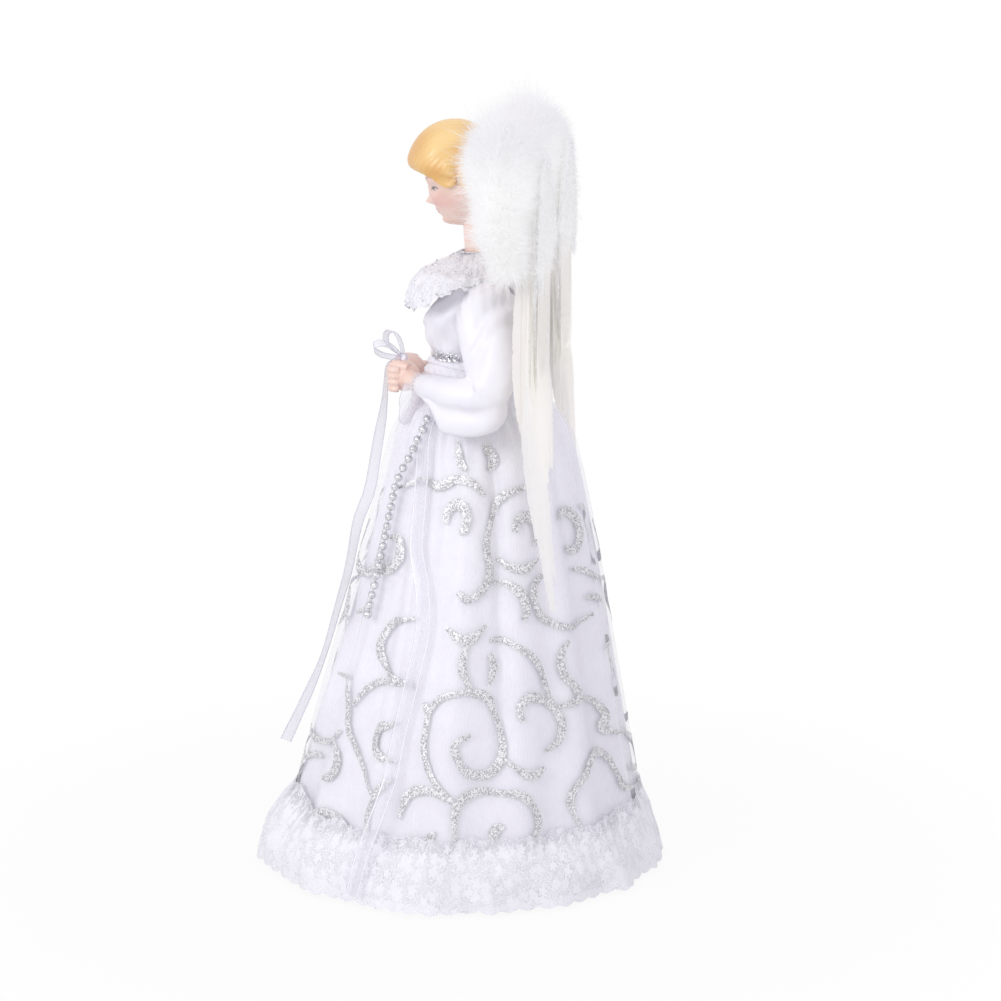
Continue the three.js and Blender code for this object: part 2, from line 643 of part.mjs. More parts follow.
// Half-widths of the sleeve from the shoulder to the wrist, and how far it sags below the arm
const SLEEVE_SIZE = [[0, 7.5], [0.14, 10.4], [0.36, 11], [0.55, 11], [0.72, 10.8], [0.88, 7.2], [1, 4.8]];
const SLEEVE_SAG = [[0, 0], [0.45, 0], [0.68, 0.5], [0.85, 0.35], [1, 0]];

function sleeveRings(side, offset) {
  const curve = new THREE.CatmullRomCurve3(armPlaces(side));
  return pathRings(curve, 14, 14, (t, centre, out, angle) => {
    const gathers = 1 + 0.04 * Math.sin(5 * angle) * Math.sin(Math.PI * t);
    const reach = along(SLEEVE_SIZE, t) * gathers + offset;
    const p = centre.clone().addScaledVector(out, reach);
    p.z -= reach * along(SLEEVE_SAG, t) * Math.max(0, -out.z);
    p.x = t < 0.4 ? side * Math.max(sleeveStart, Math.abs(p.x)) : p.x;
    return p;
  });
}

function cuffRings(side, offset) {
  const start = WRIST_RADIUS + CLEARANCE;
  return pathRings(cuffPath(side), 3, 18, (t, centre, out, angle) => {
    const flare = start + CUFF_FLARE * t + offset;
    const ruffle = 0.5 * t * Math.cos(6 * angle);
    const p = centre.clone().addScaledVector(out, flare + ruffle);
    p.z -= CUFF_FLARE * t * Math.max(0, -out.z);
    return p;
  });
}

function hand(side) {
  const forearm = tube(wristPath(side), WRIST_RADIUS, 10, 3);
  const palm = new THREE.SphereGeometry(0.5, 12, 8).scale(FIST_WIDTH, FIST_LENGTH, FIST_HEIGHT);
  palm.translate(side * fist.x, fist.y, fist.z);
  const thumb = new THREE.SphereGeometry(1, 6, 4).scale(2, 4.2, 2);
  thumb.rotateX(0.5).translate(side * (fist.x - 0.5), fist.y - 2, fist.z + THUMB_RISE);
  const fingers = range(4).map((i) => {
    const finger = new THREE.SphereGeometry(1, 6, 4).scale(FIST_WIDTH * 0.46, 2, 1.7);
    const lift = FIST_HEIGHT * (0.3 - 0.2 * i);
    return finger.translate(side * fist.x, fist.y - FIST_LENGTH * 0.42 + 0.5 * i, fist.z + lift);
  });
  return union([forearm, palm, thumb, ...fingers]);
}

for (const [side, name] of [[1, "left"], [-1, "right"]]) {
  add(`${name}_sleeve`, wall(sleeveRings(side, 0), sleeveRings(side, -CLOTH)), SATIN());
  add(`${name}_cuff`, wall(cuffRings(side, CLOTH), cuffRings(side, 0)), LACE());
  add(`${name}_hand`, hand(side), SKIN());
}

const wireArm = (side) => [...armPlaces(side).slice(0, -1), wristStart(side, CLEARANCE + 0.2)];
const wirePlaces = [...wireArm(1).reverse(), ...wireArm(-1)];
add("armature_wire", tube(new THREE.CatmullRomCurve3(wirePlaces), WIRE_RADIUS, 6, 44), WIRE());

// Bow: a knot on the left thumb, two loops and one long end that hangs down to the skirt

const knot = point(fist.x - 1, fist.y - 1, fist.z + THUMB_RISE + THUMB_TOP + CLEARANCE + KNOT_HALF_HEIGHT);
const knotBody = new THREE.SphereGeometry(1, 10, 7);
knotBody.scale(KNOT_HALF_WIDTH, KNOT_HALF_WIDTH, KNOT_HALF_HEIGHT).translate(knot.x, knot.y, knot.z);
add("bow_knot", knotBody, SHEER());

function bowLoop(direction, opening, length) {
  const out = direction.normalize();
  const open = opening.addScaledVector(out, -opening.dot(out)).normalize();
  const start = 0.6; // the two strands leave the knot side by side
  const places = fractions(13).map((t) => {
    const turn = lerp(start, TAU - start, t);
    const reach = KNOT_HALF_WIDTH + CLEARANCE / 2 + (length * (Math.cos(start) - Math.cos(turn))) / 2;
    const swell = 0.27 * length * Math.sin(turn) * Math.sin(turn / 2);
    return knot.clone().addScaledVector(out, reach).addScaledVector(open, swell);
  });
  const width = out.clone().cross(open);
  const gathered = (t) => RIBBON_WIDTH * lerp(0.4, 1, Math.sin(Math.PI * t));
  return strip(new THREE.CatmullRomCurve3(places), 20, gathered, RIBBON_WALL, () => width);
}
add("bow_loop_left", bowLoop(point(0.42, -0.8, 0.42), point(0.3, 0.4, 0.8), BOW_LOOP), SHEER());
add("bow_loop_right", bowLoop(point(-0.62, -0.25, 0.74), point(0.1, 0.9, 0.4), BOW_LOOP), SHEER());

const bowTailPath = new THREE.CatmullRomCurve3([
  point(knot.x - 1, knot.y - KNOT_HALF_WIDTH - 2.4 * CLEARANCE, knot.z),
  point(knot.x - 2, knot.y - 7.6, knot.z - 3),
  point(knot.x - 2.5, knot.y - 9.2, knot.z - 10),
  point(knot.x - 2.5, knot.y - 10.4, knot.z - 21),
  point(knot.x - 2, knot.y - 12.6, knot.z - 37),
  point(knot.x - 1, knot.y - 15, knot.z - 54),
  onSkirt(6, 138, 3.2),
  onSkirt(8, 120, 1.4),
  onSkirt(9, 102, 1.2),
  onSkirt(8, 84, 1.4),
  onSkirt(7, 68, 3.5),
  onSkirt(6, 46, 8),
]);
const BOW_TAIL_TWIST = [[0, 0], [0.2, 20], [0.36, 75], [0.48, 10], [0.8, 0], [0.92, 45], [1, 70]];
const bowTailAcross = (t) => {
  const twist = degToRad(along(BOW_TAIL_TWIST, t));
  return point(Math.cos(twist), -Math.sin(twist), 0);
};
add("bow_tail", strip(bowTailPath, 34, () => RIBBON_WIDTH, RIBBON_WALL, bowTailAcross), SHEER());

// Wings: a plate on the back holds the two upright wires in loops

const bodiceBack = Math.max(...[bustLine - PLATE_HEIGHT / 2, bustLine].flatMap((z) =>
  torsoRing(z, CLEARANCE + CLOTH, TORSO_SIDES).map((p) => p.y)));
const plateFront = bodiceBack + CLEARANCE;
const hingeY = plateFront + PLATE_WALL + KNUCKLE_RADIUS - 0.5;
const plateBox = new THREE.BoxGeometry(2 * PLATE_HALF_WIDTH, PLATE_WALL, PLATE_HEIGHT);
plateBox.translate(0, plateFront + PLATE_WALL / 2, bustLine);
const knuckleHeights = [-1, 1].map((end) => bustLine + end * (PLATE_HEIGHT / 2 - KNUCKLE_HEIGHT));
const knuckles = [-1, 1].flatMap((side) => knuckleHeights.map((z) => rodZ(
  side * HINGE_X, hingeY, z - KNUCKLE_HEIGHT / 2, z + KNUCKLE_HEIGHT / 2, KNUCKLE_RADIUS, 12)));
const pintleBores = [-1, 1].map((side) => rodZ(
  side * HINGE_X, hingeY, bustLine - PLATE_HEIGHT, bustLine + PLATE_HEIGHT, WIRE_RADIUS + CLEARANCE, 12));
add("wing_plate", cut(union([plateBox, ...knuckles]), ...pintleBores), PLASTIC());

// Layers of a wing from front to back: boa, short feathers, long feathers, card, wire

const featherPitch = FEATHER_WALL + CLEARANCE;
const boaBack = hingeY + WING_STANDOFF;
const featherY = (layer) => boaBack + CLEARANCE + FEATHER_WALL / 2 + layer * featherPitch;
const cardFront = featherY(3) - FEATHER_WALL / 2;
const wireY = cardFront + CARD_WALL + CLEARANCE + WIRE_RADIUS;

// The wing's arch, as distances out from the hinge and up from the chest line
const ARCH = [[8, 25], [13, 46], [26, 65], [41, 70], [54, 57], [59, 35], [56, 21]];
const archPoint = ([out, up], y) => point(HINGE_X + out, y, bustLine + up);
const CARD_EDGE = [
  [11, 26], [15, 44], [27, 61], [41, 65], [53, 53], [57, 32],
  [55, 8], [46, -12], [32, -16], [19, -8], [12, 8],
];
const cardFoot = bustLine - 16;

const BOA_WIDTH = [[0, 7], [0.12, 10], [0.3, 13], [0.6, 14], [0.85, 12.5], [1, 9]];
const BOA_DEPTH = [[0, 0.3], [0.3, 0.85], [0.55, 1], [0.85, 0.7], [1, 0.45]];

function boa() {
  const curve = new THREE.CatmullRomCurve3(ARCH.map((place) => archPoint(place, 0)));
  const rings = fractions(13).map((t) => {
    const centre = curve.getPointAt(t);
    const tangent = curve.getTangentAt(t);
    const across = point(-tangent.z, 0, tangent.x);
    const depth = (BOA_THICKNESS / 2) * along(BOA_DEPTH, t);
    return range(10).map((j) => {
      const angle = (TAU * j) / 10;
      const p = centre.clone().addScaledVector(across, along(BOA_WIDTH, t) * Math.cos(angle));
      p.y = boaBack - depth + depth * Math.min(0.95, 1.4 * Math.sin(angle)) / 0.95;
      return p;
    });
  });
  return loft(rings);
}

function feather(base, tip, width, layer) {
  const rings = fractions(8).map((t) => {
    const z = lerp(base.z, tip.z, t);
    const x = lerp(base.x, tip.x, t) + 2.5 * Math.sin(Math.PI * t);
    const droop = clamp((cardFoot - z) / (cardFoot - LONG_TIP), 0, 1) ** 1.5;
    const y = featherY(layer) + FEATHER_DROOP * droop;
    const half = (width / 2) * (0.12 + 0.88 * Math.sin(Math.PI * (0.1 + 0.86 * t)) ** 0.7);
    return [point(x - half, y, z), point(x, y - FEATHER_WALL / 2, z), point(x + half, y, z),
      point(x, y + FEATHER_WALL / 2, z)];
  });
  return loft(rings);
}

// Tips fall to the lowest one, two thirds of the way out, and rise again beyond it
const LOWEST = 0.68;
function tipRise(t) {
  const inner = Math.max(0, LOWEST - t) / LOWEST;
  const outer = Math.max(0, t - LOWEST) / (1 - LOWEST);
  return 75 * inner ** 1.4 + 33 * outer ** 1.4;
}

function wing() {
  const pintleFoot = bustLine - PLATE_HEIGHT / 2 - 1;
  const pintleTop = bustLine + PLATE_HEIGHT / 2 + 1;
  const pintle = [0, 0.45, 0.9, 1].map((t) => point(HINGE_X, hingeY, lerp(pintleFoot, pintleTop, t)));
  const arm = ARCH.slice(1).map(([out, up]) => archPoint([0.94 * out, 0.94 * up], wireY));
  const bend = archPoint([4, 24], lerp(hingeY, wireY, 0.6));
  const wirePath = new THREE.CatmullRomCurve3([...pintle, bend, ...arm]);
  const edge = CARD_EDGE.map(([out, up]) => new THREE.Vector2(HINGE_X + out, bustLine + up));
  const outline = new THREE.Shape(new THREE.SplineCurve([...edge, edge[0]]).getPoints(22));
  const card = new THREE.ExtrudeGeometry(outline, { depth: CARD_WALL, bevelEnabled: false });
  card.rotateX(Math.PI / 2).translate(0, cardFront + CARD_WALL, 0);
  const long = fractions(LONG_FEATHERS).map((t, i) => feather(
    archPoint([13 + 43 * t, 18 + 8 * Math.sin(Math.PI * t)], 0),
    point(HINGE_X + 18 + 46 * t, 0, LONG_TIP + tipRise(t)), FEATHER_WIDTH, 1 + (i % 2)));
  const short = fractions(SHORT_FEATHERS).map((t) => feather(
    archPoint([15 + 38 * t, 22 + 6 * Math.sin(Math.PI * t)], 0),
    point(HINGE_X + 20 + 38 * t, 0, SHORT_TIP + 0.4 * tipRise(t)), 1.15 * FEATHER_WIDTH, 0));
  return { wire: tube(wirePath, WIRE_RADIUS, 6, 34), card, boa: boa(), long, short };
}

// The right wing is the left one mirrored
function placed(geometry, side) {
  if (side > 0) {
    return geometry;
  }
  const mirrored = (geometry.index ? geometry.toNonIndexed() : geometry.clone()).scale(-1, 1, 1);
  const places = mirrored.attributes.position;
  for (let i = 0; i < places.count; i += 3) {
    const [a, b] = [i, i + 2].map((k) => new THREE.Vector3().fromBufferAttribute(places, k));
    places.setXYZ(i, b.x, b.y, b.z);
    places.setXYZ(i + 2, a.x, a.y, a.z);
  }
  mirrored.computeVertexNormals();
  return mirrored;
}

for (const [side, name] of [[1, "left"], [-1, "right"]]) {
  const pieces = wing();
  add(`${name}_wing_wire`, placed(pieces.wire, side), WIRE());
  add(`${name}_wing_card`, placed(pieces.card, side), CARD());
  add(`${name}_marabou`, placed(pieces.boa, side), FEATHER());
  pieces.long.forEach((piece, i) => add(`${name}_long_feather_${i + 1}`, placed(piece, side), FEATHER()));
  pieces.short.forEach((piece, i) => add(`${name}_short_feather_${i + 1}`, placed(piece, side), FEATHER()));
}

group.updateMatrixWorld(true);
export default group;
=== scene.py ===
"""Angel tree topper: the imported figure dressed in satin, organza, lace, silver trim and feathers.

Lengths here are millimetres in the frame's axes: +Z up, -Y the way the figure faces, +X its left.
Degrees on the skirt are counted from the front towards the left.
"""
import math

import bpy
import numpy as np
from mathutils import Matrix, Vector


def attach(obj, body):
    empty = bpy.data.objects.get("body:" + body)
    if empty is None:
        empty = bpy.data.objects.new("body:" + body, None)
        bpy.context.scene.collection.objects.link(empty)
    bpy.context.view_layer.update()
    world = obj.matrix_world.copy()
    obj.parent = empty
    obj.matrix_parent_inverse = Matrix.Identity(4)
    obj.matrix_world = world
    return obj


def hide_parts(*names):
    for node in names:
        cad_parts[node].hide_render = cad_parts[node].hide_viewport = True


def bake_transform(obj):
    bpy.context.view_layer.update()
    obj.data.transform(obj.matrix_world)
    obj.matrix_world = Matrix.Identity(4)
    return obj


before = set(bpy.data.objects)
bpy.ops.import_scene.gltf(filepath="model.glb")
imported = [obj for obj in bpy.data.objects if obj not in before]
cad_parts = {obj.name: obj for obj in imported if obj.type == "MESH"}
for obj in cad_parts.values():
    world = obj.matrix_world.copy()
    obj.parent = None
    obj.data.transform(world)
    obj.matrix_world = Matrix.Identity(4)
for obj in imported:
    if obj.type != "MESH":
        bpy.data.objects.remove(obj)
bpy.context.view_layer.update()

MM = 0.001
SIDES = {"left": 1, "right": -1}


# Numbers and curves

def lerp(a, b, t):
    """From a where t is 0 to b where t is 1, in a straight line."""
    return a + (b - a) * t


def ease(x, low, high):
    """0 below low, 1 above high and an S-curve between them."""
    t = np.clip((x - low) / (high - low), 0, 1)
    return t * t * (3 - 2 * t)


def bell(x, centre, width):
    """1 at the centre, and less on both sides along a bell curve."""
    return np.exp(-(((x - centre) / width) ** 2))


def unit(v):
    """Vectors drawn out or in to length 1."""
    return v / np.maximum(np.linalg.norm(v, axis=-1, keepdims=True), 1e-9)


def vec(*parts):
    """Arrays, or numbers, side by side as one array of points."""
    return np.stack(np.broadcast_arrays(*parts), -1).astype(float)


def turns(count):
    """Angles once round, spaced evenly."""
    return np.linspace(0, 2 * np.pi, count, endpoint=False)


def round_grid(rows, columns, start=0):
    """The two parameters of a closed surface: degrees once round in a row, and 0 to 1 in a column."""
    degrees = np.linspace(start, start + 360, columns, endpoint=False)[None, :]
    return degrees, np.linspace(0, 1, rows)[:, None]


def about(axis, radius, degrees, z):
    """Points at a radius, and at degrees from the front, round an upright line that stands back by axis."""
    angle = np.radians(degrees)
    return vec(radius * np.sin(angle), axis - radius * np.cos(angle), z)


def ball_ways(fall, side):
    """Directions on a ball: fall is the angle down from its top, side the angle round it."""
    return vec(np.sin(fall) * np.cos(side), np.sin(fall) * np.sin(side), np.cos(fall) + 0 * side)


def between(stops, t):
    """The value at each t of a run of (place, value) stops, eased from stop to stop."""
    places, values = np.array(stops, float).T
    i = np.clip(np.searchsorted(places, t, side="right") - 1, 0, len(places) - 2)
    return lerp(values[i], values[i + 1], ease(t, places[i], places[i + 1]))


def spline(points, count):
    """A Catmull-Rom curve through the points, at count places spaced evenly along it."""
    p = np.asarray(points, float)
    p = np.vstack([2 * p[0] - p[1], p, 2 * p[-1] - p[-2]])
    place = np.linspace(0, len(p) - 3, 40 * (len(p) - 3) + 1)
    i = np.minimum(place.astype(int), len(p) - 4)
    f = (place - i)[:, None]
    a, b, c, d = p[i], p[i + 1], p[i + 2], p[i + 3]
    fine = b + 0.5 * f * (c - a + f * (2 * a - 5 * b + 4 * c - d + f * (3 * (b - c) + d - a)))
    run = np.r_[0, np.cumsum(np.linalg.norm(np.diff(fine, axis=0), axis=1))]
    even = np.linspace(0, run[-1], count)
    return np.stack([np.interp(even, run, fine[:, k]) for k in range(p.shape[1])], -1)


def path_length(path):
    """The length of a path: the sum of its steps."""
    return np.linalg.norm(np.diff(path, axis=0), axis=1).sum()


def square_to(path, reference):
    """Two directions square to a path all along it: the reference's own, and the one square to both."""
    tangent = unit(np.gradient(path, axis=0))
    first = unit(reference - tangent * np.sum(tangent * reference, -1, keepdims=True))
    return first, np.cross(tangent, first)


def ring_ways(path, reference, angle):
    """At each place of a path, the directions square to it at the given angles."""
    first, second = square_to(path, reference)
    return first[:, None] * np.cos(angle)[..., None] + second[:, None] * np.sin(angle)[..., None]


# Meshes

TUBE_FRAME = np.array([0.31, 0.55, 0.77])  # in line with no tube

# Rows and columns of points on each surface
GRIDS = {
    "underskirt": (100, 430), "overskirt": (124, 560), "hem_lace": (36, 1300), "bodice": (56, 200),
    "sash": (44, 300), "collar": (44, 520), "head": (170, 200), "neck": (50, 80), "hair": (160, 260),
    "sleeve": (100, 130), "cuff": (22, 160), "boa": (60, 36), "feather": (120, 13),
}


def quads(index):
    """The four corners of each cell in a grid of numbers."""
    corners = [index[..., :-1, :-1], index[..., :-1, 1:], index[..., 1:, 1:], index[..., 1:, :-1]]
    return np.stack(corners, -1).reshape(-1, 4)


class Form:
    """Grids of points, in millimetres, gathered into one mesh with a UV map."""

    def __init__(self):
        self.points, self.faces, self.uvs, self.count = [], [], [], 0

    def grid(self, points, closed=False, capped=False, uv=None, outward=True):
        """Quads between the neighbours of a (rows, columns) grid. closed joins the last column to the
        first, capped fills the end rings, and outward turns the faces away from the grid's middle."""
        rows, columns = points.shape[:2]
        index = np.arange(rows * columns).reshape(rows, columns)
        loop = np.hstack([index, index[:, :1]]) if closed else index
        faces, corners = quads(loop), quads(np.arange(loop.size).reshape(loop.shape))
        if uv is None:
            uv = vec(np.linspace(0, 1, loop.shape[1])[None, :], np.linspace(0, 1, rows)[:, None])
        flat = points.reshape(-1, 3)
        if outward:
            a, b, c, d = (flat[faces[:, k]] for k in range(4))
            normal = np.cross(c - a, d - b)
            middle = points.mean(axis=1)[:-1] if closed else points.mean(axis=(0, 1))[None]
            middle = np.repeat(middle, len(faces) // len(middle), axis=0)
            if np.sum(normal * ((a + c) / 2 - middle)) < 0:
                faces, corners = faces[:, ::-1], corners[:, ::-1]
        self.add(flat, faces, uv.reshape(-1, 2)[corners])
        if capped:
            for ring in (index[0], index[-1][::-1]):
                self.cap(flat, ring)
        return self

    def cap(self, flat, ring):
        """One flat face over an end ring of the grid added last, turned away from the grid's middle."""
        a, b, c = flat[ring[0]], flat[ring[len(ring) // 3]], flat[ring[2 * len(ring) // 3]]
        if np.dot(np.cross(b - a, c - a), a - flat.mean(axis=0)) < 0:
            ring = ring[::-1]
        start = self.count - len(flat)
        self.faces.append(ring[None] + start)
        self.uvs.append(np.zeros((1, len(ring), 2)))

    def add(self, flat, faces, uv):
        """Points, faces that count from the first of them, and a UV place for each corner."""
        self.points.append(flat)
        self.faces.append(faces + self.count)
        self.uvs.append(uv)
        self.count += len(flat)

    def ribbons(self, lines, across, widths):
        """Many narrow ribbons at once: lines is (ribbons, places, 3), across each ribbon's width
        direction and widths the width at each place."""
        half = across * np.asarray(widths)[..., None] / 2
        edges = np.stack([lines - half, lines + half], 2)
        many, places = lines.shape[:2]
        corners = quads(np.arange(places * 2).reshape(places, 2))
        uv = vec(np.array([0, 1]), np.linspace(0, 1, places)[:, None]).reshape(-1, 2)[corners]
        index = np.arange(many * places * 2).reshape(many, places, 2)
        self.add(edges.reshape(-1, 3), quads(index), np.tile(uv, (many, 1, 1)))
        return self

    def tube(self, path, radius, sides):
        """A round tube along a path; the radius may change along it."""
        size = np.broadcast_to(radius, (len(path),))[:, None, None]
        rings = path[:, None] + size * ring_ways(path, TUBE_FRAME, turns(sides))
        return self.grid(rings, closed=True, capped=True)

    def ball(self, centre, radii, rows, columns):
        """A ball stretched to three radii."""
        fall = np.pi * (np.arange(rows) + 0.5) / rows
        points = ball_ways(fall[:, None], turns(columns)) * np.asarray(radii, float)
        return self.grid(points + np.asarray(centre, float), closed=True, capped=True)

    def mesh(self, name):
        """All that was added, as one smooth mesh in metres."""
        mesh = bpy.data.meshes.new(name)
        points = np.concatenate(self.points) * MM
        loops = np.concatenate([f.ravel() for f in self.faces])
        sizes = np.concatenate([np.full(len(f), f.shape[1]) for f in self.faces])
        mesh.vertices.add(len(points))
        mesh.vertices.foreach_set("co", points.ravel())
        mesh.loops.add(len(loops))
        mesh.loops.foreach_set("vertex_index", loops)
        mesh.polygons.add(len(sizes))
        mesh.polygons.foreach_set("loop_start", np.r_[0, np.cumsum(sizes)[:-1]])
        mesh.update(calc_edges=True)
        layer = mesh.uv_layers.new(name="UVMap")
        layer.uv.foreach_set("vector", np.concatenate([u.reshape(-1, 2) for u in self.uvs]).ravel())
        mesh.validate()
        mesh.shade_smooth()
        return mesh


def piece(name, form, body, look, wall=0, node=None):
    """A form as an object that rides on a body, if one is named; wall is a cloth's thickness, grown
    inwards. It stands for the given CAD node, or for the one that has its own name."""
    obj = bpy.data.objects.new(name, form.mesh(name))
    bpy.context.collection.objects.link(obj)
    obj.data.materials.append(look.material)
    if wall:
        modifier = obj.modifiers.new("wall", "SOLIDIFY")
        modifier.thickness = wall * MM
        modifier.offset = -1
    if body:
        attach(obj, body)
    node = node or name
    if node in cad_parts:
        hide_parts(node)
    return obj


# Materials

class Value:
    """A number in a node tree; arithmetic on it adds Math nodes."""

    def __init__(self, look, socket):
        self.look, self.socket = look, socket

    def do(self, operation, *others):
        """A Math node on this number, then the others."""
        return self.look.value("ShaderNodeMath", {"operation": operation}, dict(enumerate((self, *others))))

    def after(self, operation, other):
        """A Math node on another number, then this one."""
        return self.look.value("ShaderNodeMath", {"operation": operation}, {0: other, 1: self})

    def __add__(self, other):
        return self.do("ADD", other)

    def __sub__(self, other):
        return self.do("SUBTRACT", other)

    def __rsub__(self, other):
        return self.after("SUBTRACT", other)

    def __mul__(self, other):
        return self.do("MULTIPLY", other)

    def __truediv__(self, other):
        return self.do("DIVIDE", other)

    def __pow__(self, other):
        return self.do("POWER", other)

    def __abs__(self):
        return self.do("ABSOLUTE")

    __radd__ = __add__
    __rmul__ = __mul__

    def sin(self):
        return self.do("SINE")

    def cos(self):
        return self.do("COSINE")

    def or_more(self, other):
        return self.do("MAXIMUM", other)

    def or_less(self, other):
        return self.do("MINIMUM", other)

    def ease(self, low, high):
        """0 below low, 1 above high, or the other way round where low is the larger."""
        return self.look.value("ShaderNodeMapRange", {"interpolation_type": "SMOOTHSTEP"},
                               {"Value": self, "From Min": low, "From Max": high})


class Look:
    """A material: constants go on the shader's own sockets, what changes is linked to them."""

    def __init__(self, name, **constants):
        self.material = bpy.data.materials.new(name)
        self.material.use_nodes = True
        self.tree = self.material.node_tree
        self.shader = self.tree.nodes["Principled BSDF"]
        self.set(self.shader, {key.replace("_", " ").title(): value for key, value in constants.items()})

    def set(self, node, sockets):
        """Links or writes what each named or numbered socket of a node takes."""
        for key, value in sockets.items():
            target = node.inputs[key]
            if isinstance(value, Value):
                self.tree.links.new(value.socket, target)
            elif isinstance(value, bpy.types.NodeSocket):
                self.tree.links.new(value, target)
            elif hasattr(value, "__len__") and target.type == "RGBA":
                target.default_value = (*value[:3], 1)
            else:
                target.default_value = value

    def node(self, kind, settings, sockets):
        """Any node: its settings first, then its sockets."""
        node = self.tree.nodes.new(kind)
        for key, value in settings.items():
            setattr(node, key, value)
        self.set(node, sockets)
        return node

    def value(self, kind, settings, sockets):
        """A node's first output, as a number to reckon with."""
        return Value(self, self.node(kind, settings, sockets).outputs[0])

    def feed(self, **sockets):
        """What changes over the surface, by the shader's sockets."""
        self.set(self.shader, {key.replace("_", " ").title(): value for key, value in sockets.items()})

    def blend(self, factor, other):
        """Blends another shader over the material's own, all of it where factor is 1."""
        both = self.node("ShaderNodeMixShader", {},
                         {0: factor, 1: self.shader.outputs[0], 2: other.outputs[0]})
        self.tree.links.new(both.outputs[0], self.tree.nodes["Material Output"].inputs["Surface"])

    def through(self, share, colour):
        """Lets a share of the light through the sheet, scattered."""
        self.blend(share, self.node("ShaderNodeBsdfTranslucent", {}, {"Color": colour}))

    def here(self):
        """The place on the object, in metres."""
        return self.node("ShaderNodeTexCoord", {}, {}).outputs["Object"]

    def uv(self):
        """The place on the piece's own UV map."""
        return self.node("ShaderNodeTexCoord", {}, {}).outputs["UV"]

    def parts(self, vector):
        """A vector's three numbers."""
        split = self.node("ShaderNodeSeparateXYZ", {}, {"Vector": vector})
        return [Value(self, split.outputs[k]) for k in range(3)]

    def mapped(self, vector, scale):
        """A place, scaled along each axis."""
        return self.node("ShaderNodeMapping", {}, {"Vector": vector, "Scale": scale}).outputs[0]

    def noise(self, vector, scale, detail=2, roughness=0.5):
        """Soft random patches from 0 to 1, scale of them to a unit of the vector."""
        return self.value("ShaderNodeTexNoise", {}, {
            "Vector": vector, "Scale": scale, "Detail": detail, "Roughness": roughness})

    def mix(self, factor, a, b):
        """The colour a where factor is 0 and b where it is 1."""
        node = self.node("ShaderNodeMix", {"data_type": "RGBA"}, {0: factor, 6: a, 7: b})
        return node.outputs[2]

    def bump(self, height, distance, strength=1):
        """Relief of a height from 0 to 1, distance millimetres deep."""
        node = self.node("ShaderNodeBump", {}, {
            "Height": height, "Distance": distance * MM, "Strength": strength})
        self.feed(normal=node.outputs[0])


def make_satin():
    """Satin: a close weave with long floats along it, and a soft sheen that varies in patches."""
    look = Look("white_satin", base_color=(0.9, 0.89, 0.93), sheen_weight=0.25, sheen_roughness=0.3)
    here = look.here()
    patches = look.noise(here, 90, 3)
    floats = look.noise(look.mapped(here, (2600, 2600, 420)), 1, 1)
    look.feed(
        base_color=look.mix(patches.ease(0.3, 0.7), (0.925, 0.92, 0.95), (0.89, 0.88, 0.925)),
        roughness=0.3 + 0.14 * patches,
    )
    look.bump(0.7 * floats + 0.3 * look.noise(here, 1400, 1), 0.05, 0.5)
    return look


def make_organza(name, tone, clear, thread):
    """Organza: a plain open weave of shiny thread; clear is its thinnest opacity, thread its slubs'."""
    look = Look(name, base_color=tone, roughness=0.3, sheen_weight=0.15)
    here = look.here()
    slub = look.noise(look.mapped(here, (1500, 1500, 24)), 1, 1)
    sheen = look.noise(here, 45, 2)
    look.feed(alpha=clear + (thread - clear) * (0.5 * slub.ease(0.3, 0.75) + 0.5 * sheen.ease(0.35, 0.65)))
    look.bump(slub, 0.04, 0.1)
    return look


def make_ribbon(name, clear, tone):
    """Sheer ribbon: see-through between two close-woven edges. UV runs across it from 0 to 1."""
    look = Look(name, roughness=0.3, sheen_weight=0.2)
    across, _, _ = look.parts(look.uv())
    edge = abs(across - 0.5).ease(0.38, 0.46)
    weave = look.noise(look.mapped(look.here(), (1400, 1400, 700)), 1, 2)
    look.feed(
        base_color=look.mix(edge, tone, (0.94, 0.935, 0.975)),
        alpha=(clear + 0.15 * weave + 0.6 * edge).or_less(1.0),
    )
    look.bump(weave + edge, 0.06, 0.4)
    return look


